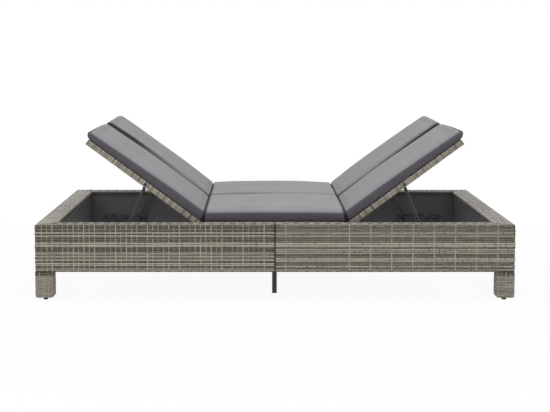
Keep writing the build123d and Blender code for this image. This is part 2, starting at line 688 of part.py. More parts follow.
def back_cushion():
    """The left backrest's front cushion, raised."""
    foot = (-HALF_LENGTH + RIM_WIDTH + PANEL_TIP_GAP + CUSHION_TIP_GAP + HINGE_X, -CUSHION_END_START)
    place = raised() * Pos(0, 0, HALF_PANEL)
    tip_slope = -math.tan(math.radians(CUSHION_TIP_LEAN))
    return [place * p for p in cushion_pair(foot, BACK_CUSHION_HEIGHT, tip_slope, meeting_slope())]


def seat_cushion():
    """The front seat cushion, across both halves."""
    x, z = turn(BACK_ANGLE, (CUSHION_END_START, HALF_PANEL))
    lean = math.radians(BACK_ANGLE / 2)
    end = HINGE_X - x - (HALF_PANEL - z) * math.tan(lean) - CUSHION_MEET_GAP / math.cos(lean)
    place = Pos(0, 0, PANEL_TOP)
    slope = meeting_slope()
    return [place * p for p in cushion_pair((-end, end), SEAT_CUSHION_HEIGHT, slope, slope)]


# Feet, and what joins the halves


def foot_glide():
    """The front left leg's glide, with its stem in the foot plate."""
    middle = LEG_WIDTH / 2
    x, y = inset_x(middle), inset_y(middle)
    pad = rod_z(x, y, (0, GLIDE_HEIGHT), GLIDE_RADIUS)
    pad = fillet(pad.edges().group_by(Axis.Z)[0], GLIDE_ROUND)
    return pad + rod_z(x, y, (GLIDE_HEIGHT, GLIDE_HEIGHT + GLIDE_STEM), GLIDE_STEM_RADIUS)


def leg_screw_place(side):
    """X and Y of the screw that holds a centre leg's head to the left half."""
    return -TUBE / 2, side * (CENTRE_LEG_Y - LEG_HEAD_DEPTH / 3)


def centre_leg():
    """The front centre leg: a square tube under a plate that bridges the seam."""
    y = -CENTRE_LEG_Y
    top = BEAM_Z[0] - LEG_HEAD
    half = TUBE / 2
    shaft = tube((-half, half), (y - half, y + half), (PLUG_FLANGE, top), "z")
    wide, deep = LEG_HEAD_WIDTH / 2, LEG_HEAD_DEPTH / 2
    head = block((-wide, wide), (y - deep, y + deep), (top, BEAM_Z[0]))
    x, screw_y = leg_screw_place(-1)
    for side in (-1, 1):
        head -= rod_z(side * x, screw_y, (top - OVERRUN, BEAM_Z[0] + OVERRUN), SCREW_RADIUS + FIXED_GAP)
    return shaft + head


def leg_screw(side):
    """The screw through a centre leg's head into the left half's beam."""
    x, y = leg_screw_place(side)
    foot = BEAM_Z[0] - LEG_HEAD
    shank = rod_z(x, y, (foot, BEAM_Z[0] + TUBE_WALL), SCREW_RADIUS)
    return shank + rod_z(x, y, (foot - SCREW_HEAD, foot), SCREW_HEAD_RADIUS)


def leg_plug():
    """Plastic foot of the front centre leg."""
    y = -CENTRE_LEG_Y
    half, core = TUBE / 2, TUBE / 2 - TUBE_WALL
    flange = block((-half, half), (y - half, y + half), (0, PLUG_FLANGE))
    return flange + block((-core, core), (y - core, y + core), (PLUG_FLANGE, PLUG_FLANGE + PLUG_INSERT))


def joint_bolt(share):
    """A bolt through both joint beams, and its nut."""
    y = share * JOINT_REACH
    z = (BEAM_Z[0] + BEAM_Z[1]) / 2
    bolt = rod_x((-TUBE, TUBE + NUT + BOLT_TAIL), y, z, SEAM_BOLT_RADIUS)
    bolt += rod_x((-TUBE - BOLT_HEAD, -TUBE), y, z, BOLT_HEAD_RADIUS)
    nut = extrude(RegularPolygon(NUT_FLATS / 2, 6, major_radius=False), NUT)
    nut = Pos(TUBE, y, z) * Rot(0, 90, 0) * nut
    return [bolt, nut - rod_x((TUBE - OVERRUN, TUBE + NUT + OVERRUN), y, z, SEAM_BOLT_RADIUS + FIXED_GAP)]


# All the pieces


def left_half():
    """Every node of the left half, by name, as lists of solids."""
    front, leg = front_weave(), leg_weave()
    deck_tubes, deck_weave = seat_deck()
    cover, foam = back_cushion()
    return {
        "front_weave": [front],
        "rear_weave": [mirror(front, about=Plane.XZ)],
        "end_weave": [end_weave()],
        "front_leg_weave": [leg],
        "rear_leg_weave": [mirror(leg, about=Plane.XZ)],
        "top_rails": ring(TOP_RAIL, False),
        "bottom_rails": ring(LOW_RAIL, True),
        "wall_uprights": wall_uprights(),
        "leg_frames": leg_frames(),
        "liners": liners(),
        "hinge_beam": [hinge_beam()],
        "joint_beam": [joint_beam()],
        "seat_frame": deck_tubes,
        "seat_weave": [deck_weave],
        "ratchet_rails": front_and_rear([ratchet_rail()]),
        "hinge_bolts": hinge_bolts(),
        "back_frame": back_frame(),
        "back_weave": [back_weave()],
        "prop": [prop()],
        "prop_bolts": prop_bolts(),
        "back_cover_front": [cover],
        "back_cover_rear": [mirror(cover, about=Plane.XZ)],
        "back_foam_front": [foam],
        "back_foam_rear": [mirror(foam, about=Plane.XZ)],
    }


def shared_pieces():
    """The nodes that belong to neither half alone."""
    cover, foam = seat_cushion()
    leg = centre_leg()
    glides = front_and_rear([foot_glide()])
    rail_screws = front_and_rear([ratchet_screw(x) for x in screw_places()])
    head_screws = [leg_screw(-1), leg_screw(1)]
    return {
        "seat_cover_front": [cover],
        "seat_cover_rear": [mirror(cover, about=Plane.XZ)],
        "seat_foam_front": [foam],
        "seat_foam_rear": [mirror(foam, about=Plane.XZ)],
        "centre_leg_front": [leg],
        "centre_leg_rear": [mirror(leg, about=Plane.XZ)],
        "leg_plugs": front_and_rear([leg_plug()]),
        "foot_glides": left_and_right(glides),
        "joint_bolts": [p for share in JOINT_SHARES for p in joint_bolt(share)],
        "leg_screws": left_and_right(head_screws),
        "ratchet_screws": left_and_right(rail_screws),
    }


def left_and_right(pieces):
    """The pieces, and their mirror images on the right."""
    return list(pieces) + [mirror(p, about=Plane.YZ) for p in pieces]


def write(name, pieces):
    """Writes one node's solids to its file."""
    solids = [s for p in pieces for s in p.solids()]
    export_step(Compound(solids), f"parts/{name}.step")


def main():
    os.makedirs("parts", exist_ok=True)
    for name, pieces in left_half().items():
        write(f"left_{name}", pieces)
        write(f"right_{name}", [mirror(p, about=Plane.YZ) for p in pieces])
    for name, pieces in shared_pieces().items():
        write(name, pieces)


main()
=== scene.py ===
import json
import math

import bmesh
import bpy
import numpy as np
from bpy.props import FloatProperty, FloatVectorProperty, IntProperty, PointerProperty
from mathutils import Matrix, Vector


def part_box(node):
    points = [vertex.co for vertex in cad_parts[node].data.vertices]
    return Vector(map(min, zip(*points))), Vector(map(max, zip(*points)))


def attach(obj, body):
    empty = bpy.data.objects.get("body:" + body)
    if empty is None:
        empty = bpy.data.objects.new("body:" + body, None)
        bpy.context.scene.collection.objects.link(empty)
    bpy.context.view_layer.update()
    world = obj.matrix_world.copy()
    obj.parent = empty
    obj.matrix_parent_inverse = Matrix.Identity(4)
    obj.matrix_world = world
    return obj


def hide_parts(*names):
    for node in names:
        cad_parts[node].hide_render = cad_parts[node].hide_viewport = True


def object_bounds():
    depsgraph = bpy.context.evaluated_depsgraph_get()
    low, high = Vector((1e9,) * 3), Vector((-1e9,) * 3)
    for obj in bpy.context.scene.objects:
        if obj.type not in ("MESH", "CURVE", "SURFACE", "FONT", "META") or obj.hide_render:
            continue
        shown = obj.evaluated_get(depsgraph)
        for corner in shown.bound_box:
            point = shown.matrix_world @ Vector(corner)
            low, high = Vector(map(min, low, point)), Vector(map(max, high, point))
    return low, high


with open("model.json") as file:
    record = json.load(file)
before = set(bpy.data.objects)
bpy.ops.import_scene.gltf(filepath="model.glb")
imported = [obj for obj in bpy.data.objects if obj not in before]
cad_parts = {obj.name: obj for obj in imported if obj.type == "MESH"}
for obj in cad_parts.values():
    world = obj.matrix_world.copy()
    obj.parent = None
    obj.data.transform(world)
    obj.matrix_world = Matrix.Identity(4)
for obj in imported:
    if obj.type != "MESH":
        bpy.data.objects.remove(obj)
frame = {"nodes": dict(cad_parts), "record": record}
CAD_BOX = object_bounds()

bl_info = {
    "name": "Double chaise lounger",
    "version": (1, 0, 0),
    "blender": (4, 5, 0),
    "location": "View3D > Sidebar > Lounger",
    "description": "Builds the woven frame, cushions, finishes and studio of a double chaise lounger",
    "category": "Add Mesh",
}

# Places read from the frame, in metres. X is the length, -Y the front.
HALF_LENGTH = CAD_BOX[1].x
HALF_WIDTH = CAD_BOX[1].y
WALL_LOW, WALL_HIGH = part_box("left_end_weave")
RIM = WALL_HIGH.z
WALL_FOOT = WALL_LOW.z
RIM_WIDTH = WALL_HIGH.x - WALL_LOW.x
SEAM = -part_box("left_front_weave")[1].x
LEG_LOW, LEG_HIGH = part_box("left_front_leg_weave")
LEG_FOOT = LEG_LOW.z
LEG_WIDTH = LEG_HIGH.x - LEG_LOW.x
SEAT_LOW, SEAT_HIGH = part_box("left_seat_weave")
PANEL_TOP = SEAT_HIGH.z
PANEL = SEAT_HIGH.z - SEAT_LOW.z
PANEL_HALF_WIDTH = SEAT_HIGH.y
SEAT_LENGTH = SEAT_HIGH.x - SEAT_LOW.x
HINGE = {j["name"]: j for j in frame["record"]["behaviour"]["joints"]}["left_back_tilt"]
HINGE_PLACE = Vector(HINGE["pos_m"])
BACK_ANGLE = -math.radians(HINGE["range_deg"][0])

# Roundings and turned-in lengths of the woven walls and legs
CORNER = 0.012
RIM_ROUND = 0.007
RIM_RETURN = 0.024
FOOT_RETURN = 0.028
LEG_ROUND = 0.009
LEG_RETURN = 0.036

# The dark sheet behind a wall's strands, painted shade in the gaps between them: its depth and thickness,
# and how far it stays from their ends
SHADE_SHEET_DEPTH = 0.0036
SHADE_SHEET_THICK = 0.0004
SHADE_SHEET_MARGIN = 0.0004

# A leg's stakes, the rows of the band at its top and their height, and the inset of its dark core, painted
# shade inside the sleeve
LEG_STAKES = 16
LEG_BAND_KINDS = ("L", "D", "D")
LEG_BAND_ROW = 0.0075
LEG_BAND = 0.022
LEG_CORE_INSET = 0.0034

# A backrest's lugs, as shares of half its width, and where its panel starts and ends, from the hinge
LUG_SHARES = (-0.76, 0.0, 0.76)
BACK_START = 0.0105
BACK_CLEARANCE = 0.005
BACK_END = HALF_LENGTH - RIM_WIDTH - BACK_CLEARANCE + HINGE_PLACE.x

# A panel's strands: thickness and lift, the rounding of its edges, and the spacing of its end rows
PANEL_THICK = 0.0008
PANEL_LIFT = 0.0005
PANEL_ROUND = 0.003
PANEL_END_ROW = 0.0075

# Strands on the outer face from the foot up, as kind and width share:
# D dark, L light and thin, M middling, P pale and wide, E the rim's outer edge
LEFT_ROWS = (
    "D5.5", "L5", "M7.3", "D7.3", "P6.7", "P7", "D7.8", "L6.2", "D7.7", "L6.3", "M9.2", "L5.6",
    "D7.4", "D7.4", "D7.6", "P10.1", "P10.1", "D7.7", "D7.8", "D7.8", "L6.3", "D6", "L7", "D9", "M5",
    "D7.2", "E7.3",
)
RIGHT_ROWS = (
    "D5.5", "L5", "D7.5", "L6.2", "D7.5", "D8", "P8.5", "P8.5", "D7.5", "D7.5", "L6", "M8", "L6", "D7.5",
    "P9", "P9", "D7.5", "D7.5", "D7.5", "L6", "D6.5", "L6", "D8", "M5", "D7.5", "E7.3",
)

# Rows beyond the outer face: F turned in at the foot, R on the rim, I turned down inside it
FOOT_ROWS = ("F7",) * 4
RIM_ROWS = ("E6.5",) + ("R7.5", "R6.5") * 5 + ("R7",)
INNER_ROWS = ("I7",) * 3

# Each kind's place on the colour ramp, from 0, nearly black, to 1, the lightest
# The rows turned down inside the rim, I, are nearly black: painted shade inside the recess
TONES = {"D": 0.28, "L": 0.76, "M": 0.46, "P": 0.74, "R": 0.76, "E": 0.34, "F": 0.25, "I": 0.1}

# A strand's section, as shares of its half width and its thickness
CROSS = np.array([(-1, 0), (-0.62, 1), (0.62, 1), (1, 0)])

# The first stake's distance from the corner. Counted from there, some stakes always show as strong
# light ticks, and some never do
CORNER_STAKE = 0.009
STRONG_STAKES = (3, 9, 11, 15, 17)
WEAK_STAKES = (1, 5, 13)


def linear(text):
    """A colour as linear values from its six hex digits."""
    parts = [int(text[i:i + 2], 16) / 255 for i in (0, 2, 4)]
    return [p / 12.92 if p <= 0.04045 else ((p + 0.055) / 1.055) ** 2.4 for p in parts]


# Settings


class LoungerWeave(bpy.types.PropertyGroup):
    """Sizes and colours of the woven strands"""

    stake: FloatProperty(
        name="Stake spacing", description="Distance between the strands that run up the walls",
        default=0.022, min=0.01, unit="LENGTH")
    gap: FloatProperty(
        name="Gap", description="Space between neighbouring rows", default=0.0007, min=0, unit="LENGTH")
    thick: FloatProperty(
        name="Strand thickness", description="Thickness of a wall strand", default=0.0013, unit="LENGTH")
    lift: FloatProperty(
        name="Lift", description="How far a wall strand rises and dips", default=0.0010, unit="LENGTH")
    panel_row: FloatProperty(
        name="Panel row", description="Row spacing on backrests and seat decks", default=0.0082,
        min=0.004, unit="LENGTH")
    leg_row: FloatProperty(
        name="Leg row", description="Row spacing on the legs", default=0.0066, min=0.003, unit="LENGTH")
    dark: FloatVectorProperty(
        name="Dark strand", description="Colour of the dark strands", subtype="COLOR",
        default=linear("5c5547"))
    middle: FloatVectorProperty(
        name="Middle strand", description="Colour of the middling strands", subtype="COLOR",
        default=linear("938c7d"))
    light: FloatVectorProperty(
        name="Light strand", description="Colour of the light strands", subtype="COLOR",
        default=linear("b9b3a2"))


class LoungerCushions(bpy.types.PropertyGroup):
    """Sizes and colours of the cushions"""

    voxel: FloatProperty(
        name="Voxel", description="Grid size of the padded forms", default=0.0075, min=0.004, unit="LENGTH")
    pressure: FloatProperty(name="Pressure", description="How hard the filling pushes", default=4.0)
    swell: FloatProperty(
        name="Swell", description="How far the top may rise", default=0.006, unit="LENGTH")
    seam: FloatProperty(
        name="Seam height", description="Height of the seam between side band and top", default=0.037,
        unit="LENGTH")
    back_seam: FloatProperty(
        name="Back seam height", description="The same on the backrests' cushions", default=0.0415,
        unit="LENGTH")
    seed: IntProperty(name="Seed", description="Start of the wrinkle pattern", default=7)
    top: FloatVectorProperty(
        name="Top", description="Colour of the cushions' tops", subtype="COLOR", default=linear("97979a"))
    band: FloatVectorProperty(
        name="Side band", description="Colour of the cushions' side bands", subtype="COLOR",
        default=linear("5b585e"))


class LoungerFinishes(bpy.types.PropertyGroup):
    """Colours of the hard parts"""

    steel: FloatVectorProperty(
        name="Frame", description="Powder coat on the tubes", subtype="COLOR", default=linear("2b2b2c"))
    liner: FloatVectorProperty(
        name="Liner", description="Dark sheet inside the walls", subtype="COLOR", default=linear("535053"))
    zinc: FloatVectorProperty(
        name="Zinc", description="Bolts, nuts and screws", subtype="COLOR", default=linear("b9bcbf"))
    plastic: FloatVectorProperty(
        name="Plastic", description="Glides, plugs and ratchet rails", subtype="COLOR",
        default=linear("242425"))


class LoungerStage(bpy.types.PropertyGroup):
    """Camera, floor and light"""

    distance: FloatProperty(
        name="Distance", description="Camera in front of the centre", default=5.559, unit="LENGTH")
    height: FloatProperty(
        name="Height", description="Camera above the floor", default=1.0816, unit="LENGTH")
    aside: FloatProperty(
        name="Aside", description="Camera to the left of the centre", default=0.0695, unit="LENGTH")
    tilt: FloatProperty(
        name="Tilt", description="How far the camera looks down", default=math.radians(5.228),
        subtype="ANGLE")
    shift: FloatProperty(
        name="Shift", description="Lens shift downwards, as a share of the picture's width", default=0.1)
    across: FloatProperty(
        name="Shift across", description="Lens shift to the right, as a share of the picture's width",
        default=0.0304)
    lens: FloatProperty(name="Lens", description="Focal length in millimetres", default=79.147)
    world: FloatProperty(name="Sky", description="Strength of the light from all round", default=0.5)
    key: FloatProperty(
        name="Key", description="Power of the softbox above", default=92.0, subtype="POWER")
    fill: FloatProperty(
        name="Fill", description="Power of the softbox in front", default=40.0, subtype="POWER")


# Node helpers


class Nodes:
    """A new node material with a few short ways to add and join its nodes."""

    def __init__(self, name):
        self.material = bpy.data.materials.new(name)
        self.material.use_nodes = True
        self.tree = self.material.node_tree
        self.shader = self.tree.nodes["Principled BSDF"]

    def add(self, kind, sockets=None, **settings):
        """A new node with its sockets, by name or number, and its settings."""
        node = self.tree.nodes.new(kind)
        for key, value in settings.items():
            setattr(node, key, value)
        for key, value in (sockets or {}).items():
            self.put(value, node.inputs[key])
        return node

    def put(self, value, socket):
        """Joins a socket to another one, or sets its value."""
        if isinstance(value, bpy.types.NodeSocket):
            self.tree.links.new(value, socket)
        else:
            socket.default_value = value

    def set(self, **sockets):
        """Sets or joins the shader's own sockets."""
        for key, value in sockets.items():
            self.put(value, self.shader.inputs[key.replace("_", " ")])

    def attribute(self, name, output="Fac"):
        """A mesh attribute, as a number or as a vector."""
        return self.add("ShaderNodeAttribute", attribute_name=name).outputs[output]

    def maths(self, operation, a, b=0.0, clamp=False):
        """One step of arithmetic."""
        return self.add("ShaderNodeMath", {0: a, 1: b}, operation=operation, use_clamp=clamp).outputs[0]

    def noise(self, vector, scale, detail=2.0, rough=0.5):
        """Soft noise, mostly between 0.3 and 0.7."""
        sockets = {"Vector": vector, "Scale": scale, "Detail": detail, "Roughness": rough}
        return self.add("ShaderNodeTexNoise", sockets).outputs["Fac"]

    def spread(self, value, low, high, to_low=0.0, to_high=1.0):
        """Maps low to high onto to_low to to_high, and no further."""
        sockets = {"Value": value, "From Min": low, "From Max": high, "To Min": to_low, "To Max": to_high}
        return self.add("ShaderNodeMapRange", sockets).outputs[0]

    def line(self, distance, half):
        """A soft line: 1 where the distance is 0, and 0 from half on."""
        share = self.maths("DIVIDE", self.maths("ABSOLUTE", distance), half)
        return self.maths("SUBTRACT", 1.0, share, clamp=True)

    def mix(self, share, a, b, blend="MIX"):
        """Mixes two colours."""
        node = self.add("ShaderNodeMix", data_type="RGBA", blend_type=blend)
        for socket, value in ((node.inputs[0], share), (node.inputs[6], a), (node.inputs[7], b)):
            self.put(value, socket)
        return node.outputs[2]

    def shaded(self, colour, shade):
        """A colour made lighter or darker by the factor shade."""
        grey = self.add("ShaderNodeCombineColor", {0: shade, 1: shade, 2: shade}).outputs[0]
        return self.mix(1.0, colour, grey, "MULTIPLY")

    def stretched(self, vector, scale):
        """Coordinates scaled by its own factor along each axis."""
        return self.add("ShaderNodeMapping", {"Vector": vector, "Scale": scale}).outputs[0]

    def bump(self, height, distance, strength=1.0):
        """Gives the shader's surface a fine relief."""
        sockets = {"Height": height, "Distance": distance, "Strength": strength}
        self.put(self.add("ShaderNodeBump", sockets).outputs[0], self.shader.inputs["Normal"])


def opaque(colour, factor=1.0):
    """A colour, made lighter or darker by factor, with its alpha."""
    return (*(c * factor for c in colour), 1.0)


def rattan_finish(settings):
    """Woven plastic cane: strands in several tones with fine streaks along them, and painted light that
    makes upward faces lighter and greyer.
    """
    n = Nodes("woven_cane")
    strand = n.add("ShaderNodeUVMap", uv_map="strand").outputs[0]
    ramp = n.add("ShaderNodeValToRGB", {0: n.attribute("tone")})
    stops = ramp.color_ramp.elements
    # Tone 0, nearly black, is the painted shade of the sheets and blocks behind the strands
    stops[0].position, stops[0].color = 0.0, (0.012, 0.011, 0.009, 1)
    stops[1].position, stops[1].color = 1.0, opaque(settings.light, 1.12)
    for position, colour in ((0.22, settings.dark), (0.5, settings.middle), (0.8, settings.light)):
        stops.new(position).color = opaque(colour)
    # Scales along and across a strand
    streaks = n.noise(n.stretched(strand, (14.0, 1500.0, 1.0)), 1.0, 3.0, 0.6)
    blotches = n.noise(n.stretched(strand, (9.0, 160.0, 1.0)), 1.0, 2.0)
    grain = n.noise(n.stretched(strand, (160.0, 4200.0, 1.0)), 1.0, 1.0)
    shade = n.maths(
        "ADD", n.spread(streaks, 0.3, 0.7, 0.78, 1.12), n.spread(blotches, 0.3, 0.7, -0.16, 0.14))
    # Painted light: faces that turn upwards are made lighter and greyer
    up = n.add("ShaderNodeSeparateXYZ", {0: n.add("ShaderNodeTexCoord").outputs["Normal"]}).outputs[2]
    painted_shading = n.spread(up, 0.5, 1.0, 0.0, 0.65)
    painted_top_colour = n.add(
        "ShaderNodeHueSaturation", {"Saturation": 0.15, "Value": 1.15, "Color": ramp.outputs[0]}).outputs[0]
    n.set(Base_Color=n.shaded(n.mix(painted_shading, ramp.outputs[0], painted_top_colour), shade))
    n.set(Roughness=n.spread(grain, 0.2, 0.8, 0.42, 0.62))
    n.bump(n.maths("ADD", n.maths("MULTIPLY", streaks, 0.7), n.maths("MULTIPLY", grain, 0.3)), 0.0004, 0.8)
    return n.material


def fabric_finish(settings):
    """Outdoor canvas: a pale top and a darker side band that meet at a stitched seam, with painted shade in
    the seam's crease and where the cushions meet.
    """
    seam_half, stitch_above, stitch_half = 0.0016, 0.006, 0.0009
    stitches, threads = 1250.0, 5200.0
    n = Nodes("canvas")
    flat = n.attribute("flat", "Vector")
    above = n.attribute("above")
    cloudy = n.noise(flat, 7.0, 3.0)
    slubs = n.noise(n.stretched(flat, (60.0, 900.0, 900.0)), 1.0, 2.0)
    cross = n.noise(n.stretched(flat, (900.0, 60.0, 900.0)), 1.0, 2.0)
    thread = n.maths("MULTIPLY", n.maths("ADD", slubs, cross), 0.5)
    colour = n.mix(n.maths("GREATER_THAN", above, 0.0), opaque(settings.band), opaque(settings.top))
    seam = n.line(above, seam_half)
    line = n.line(n.maths("SUBTRACT", above, stitch_above), stitch_half)
    dash = n.maths("SINE", n.maths("MULTIPLY", n.attribute("along"), stitches))
    stitch = n.maths("MULTIPLY", line, n.maths("GREATER_THAN", dash, -0.3))
    shade = n.maths(
        "ADD", n.spread(cloudy, 0.3, 0.7, 0.95, 1.04), n.spread(thread, 0.35, 0.65, -0.07, 0.07))
    # The seam's dark line is partly its stitching and partly painted shade in its crease; the stitches above
    # it are darker too
    for mark, depth in ((seam, 0.45), (stitch, 0.22)):
        shade = n.maths("SUBTRACT", shade, n.maths("MULTIPLY", mark, depth))
    # Painted shade in the groove and on the ends where cushions meet, and a little all over the back
    # cushions
    painted_shade_share = n.maths("MULTIPLY", n.attribute("painted_shade"), 0.85, clamp=True)
    shade = n.maths("MULTIPLY", shade, n.maths("SUBTRACT", 1.0, painted_shade_share))
    n.set(Base_Color=n.shaded(colour, shade), Roughness=0.88)
    n.set(Sheen_Weight=0.18, Sheen_Roughness=0.45, Specular_IOR_Level=0.25)
    axes = n.add("ShaderNodeSeparateXYZ", {0: flat}).outputs
    weave = [n.maths("SINE", n.maths("MULTIPLY", axis, threads)) for axis in axes]
    weave = n.maths("ADD", n.maths("ADD", weave[0], weave[1]), weave[2])
    height = n.maths("ADD", n.maths("MULTIPLY", weave, 0.06), n.maths("MULTIPLY", thread, 0.5))
    for mark, depth in ((seam, 2.2), (line, 0.8)):
        height = n.maths("SUBTRACT", height, n.maths("MULTIPLY", mark, depth))
    n.bump(height, 0.0006, 0.7)
    return n.material


def coated_finish(name, colour, rough, scale, dent=0.00008):
    """A hard coat with fine orange peel, faint dust and slightly uneven gloss."""
    n = Nodes(name)
    place = n.add("ShaderNodeTexCoord").outputs["Object"]
    peel = n.noise(place, scale, 2.0)
    dust = n.noise(place, 24.0, 4.0, 0.65)
    worn = n.spread(dust, 0.55, 0.8)
    lighter = opaque([c * 1.5 + 0.012 for c in colour])
    n.set(Base_Color=n.mix(worn, opaque(colour), lighter))
    n.set(Roughness=n.spread(dust, 0.3, 0.7, rough - 0.07, rough + 0.1))
    n.bump(peel, dent)
    return n.material


def zinc_finish(colour):
    """Zinc plating with soft grain and small dull spots."""
    n = Nodes("zinc_plate")
    place = n.add("ShaderNodeTexCoord").outputs["Object"]
    grain = n.noise(n.stretched(place, (900.0, 260.0, 900.0)), 1.0, 2.0)
    spots = n.noise(place, 420.0, 3.0)
    dull = n.spread(spots, 0.5, 0.72)
    n.set(Base_Color=n.mix(dull, opaque(colour), opaque(colour, 0.62)), Metallic=1.0)
    n.set(Roughness=n.spread(grain, 0.3, 0.7, 0.28, 0.46))
    n.bump(grain, 0.00004)
    return n.material


# Mesh helpers


def vectors(mesh, key="co"):
    """The places of a mesh's vertices, or their normals, as an array."""
    values = np.empty(len(mesh.vertices) * 3, np.float32)
    mesh.vertices.foreach_get(key, values)
    return values.reshape(-1, 3).astype(float)


def put_places(mesh, place):
    """Moves a mesh's vertices."""
    mesh.vertices.foreach_set("co", place.astype(np.float32).ravel())


def put_attribute(mesh, name, values):
    """Stores a number or a vector at each vertex."""
    kind, key = ("FLOAT", "value") if values.ndim == 1 else ("FLOAT_VECTOR", "vector")
    mesh.attributes.new(name, kind, "POINT").data.foreach_set(key, values.astype(np.float32).ravel())


def moved(place, matrix):
    """Points moved by a matrix."""
    return (np.column_stack([place, np.ones(len(place))]) @ np.array(matrix).T)[:, :3]


def linked(name, mesh):
    """A new object that shows a mesh."""
    piece = bpy.data.objects.new(name, mesh)
    bpy.context.collection.objects.link(piece)
    return piece


def finished(name, mesh, bm):
    """A new smooth object: the mesh takes the bmesh, with its faces turned outwards."""
    bmesh.ops.recalc_face_normals(bm, faces=bm.faces)
    bm.to_mesh(mesh)
    bm.free()
    mesh.polygons.foreach_set("use_smooth", [True] * len(mesh.polygons))
    return linked(name, mesh)


def dress(piece, material, body, slot, *nodes):
    """Gives a piece its material and body, and hides the nodes that it stands for. Its slot is not used."""
    piece.data.materials.clear()
    piece.data.materials.append(material)
    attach(piece, body)
    if nodes:
        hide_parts(*nodes)
    return piece


# Woven strands


def rounded_line(points, radius):
    """Samples a run of lines with square turns, rounded: lengths, points and outward normals."""
    run_samples, turn_samples = 200, 24
    points = [np.array(p, float) for p in points]
    places, ways = [], []
    start = points[0]
    for before, corner, after in zip(points, points[1:], points[2:] + [None]):
        way = (corner - before) / np.linalg.norm(corner - before)
        end = corner if after is None else corner - way * radius
        share = np.linspace(0, 1, run_samples, endpoint=after is None)[:, None]
        places.append(start + (end - start) * share)
        ways.append(np.repeat(way[None], run_samples, 0))
        if after is None:
            break
        out = (after - corner) / np.linalg.norm(after - corner)
        turn = np.linspace(0, np.pi / 2, turn_samples, endpoint=False)[:, None]
        places.append(end + radius * out * (1 - np.cos(turn)) + radius * way * np.sin(turn))
        ways.append(way * np.cos(turn) + out * np.sin(turn))
        start = corner + out * radius
    place, way = np.concatenate(places), np.concatenate(ways)
    steps = np.linalg.norm(np.diff(place, axis=0), axis=1)
    return np.concatenate([[0], np.cumsum(steps)]), place, np.column_stack([-way[:, 1], way[:, 0]])


def on_line(line, v):
    """Both coordinates and both parts of the normal at lengths v of a sampled line."""
    lengths, place, normal = line
    return [np.interp(v, lengths, part) for part in (*place.T, *normal.T)]


def strand(u, v, w, half, thick, tone, runs="u"):
    """One strand's middle line u, v, its height w, its half width, thickness and tone."""
    u, v, w, half = np.broadcast_arrays(u, v, w, half)
    return {"u": u, "v": v, "w": w, "half": half, "thick": thick, "tone": tone, "runs": runs}


def levels(u, stakes, over):
    """A row's level from -1 to 1 along u, which follows over or under at each stake."""
    t = np.clip(np.interp(u, stakes, np.arange(len(stakes))), 0, len(stakes) - 1.000001)
    i = t.astype(int)
    share = (1 - np.cos(np.pi * (t - i))) / 2
    return over[i] * (1 - share) + over[i + 1] * share


def plain_weave(count, row):
    """Over at every second stake, and under at the others. The next row does it the other way round."""
    return np.where((np.arange(count) + row) % 2 == 0, 1.0, -1.0)


def pinched(spot, chosen, deep, wide):
    """A factor that makes a strand narrower by deep, halfway between two stakes, where chosen."""
    return 1 - deep * np.exp(-((spot % 1 - 0.5) / wide) ** 2) * chosen


def wander(u, rng, size):
    """A small smooth drift along a strand."""
    return sum(size / 2 * np.sin(u * k + rng.uniform(0, 6.3)) for k in (9.0, 23.0))


def flat_grids(name, counts):
    """A mesh of one flat grid for each strand, and each vertex's strand, column and side."""
    bm = bmesh.new()
    for i, count in enumerate(counts):
        place = Matrix.Translation((0, 0, i)) @ Matrix.Diagonal((count, len(CROSS), 1, 1))
        bmesh.ops.create_grid(bm, x_segments=int(count), y_segments=len(CROSS), size=0.5, matrix=place)
    mesh = bpy.data.meshes.new(name)
    bm.to_mesh(mesh)
    bm.free()
    x, y, z = vectors(mesh).T
    which = np.rint(z).astype(int)
    return mesh, which, np.rint(x + counts[which] / 2).astype(int), np.rint(y + len(CROSS) / 2).astype(int)


def woven(name, strands, place, shell=None):
    """Rolls flat grids into closed strands, moved by place, with a dark sheet of painted shade behind them
    where one is given.
    """
    counts = np.array([len(s["u"]) - 1 for s in strands])
    mesh, which, column, side = flat_grids(name, counts)
    at = np.concatenate([[0], np.cumsum(counts + 1)])[which] + column
    values = {k: np.concatenate([s[k] for s in strands])[at] for k in ("u", "v", "w", "half")}
    runs_u = np.array([s["runs"] == "u" for s in strands])[which]
    thick = np.array([s["thick"] for s in strands])[which]
    tone = np.array([s["tone"] for s in strands])[which]
    across = CROSS[side % len(CROSS), 0] * values["half"]
    w = values["w"] + CROSS[side % len(CROSS), 1] * thick
    u = values["u"] + np.where(runs_u, 0, across)
    v = values["v"] + np.where(runs_u, across, 0)
    put_places(mesh, place(u, v, w, values["v"]))
    put_attribute(mesh, "tone", tone)
    # The chart moves with the tone, so that no two strands show the same streaks
    corners = np.empty(len(mesh.loops), np.int32)
    mesh.loops.foreach_get("vertex_index", corners)
    chart = np.column_stack([np.where(runs_u, values["u"], values["v"]), across]) + tone[:, None] * 7.3
    mesh.uv_layers.new(name="strand").data.foreach_set("uv", chart[corners].astype(np.float32).ravel())
    bm = bmesh.new()
    bm.from_mesh(mesh)
    bmesh.ops.remove_doubles(bm, verts=bm.verts, dist=0.000001)
    bmesh.ops.holes_fill(bm, edges=[e for e in bm.edges if e.is_boundary], sides=0)
    if shell:
        shell(bm, place)
    return finished(name, mesh, bm)


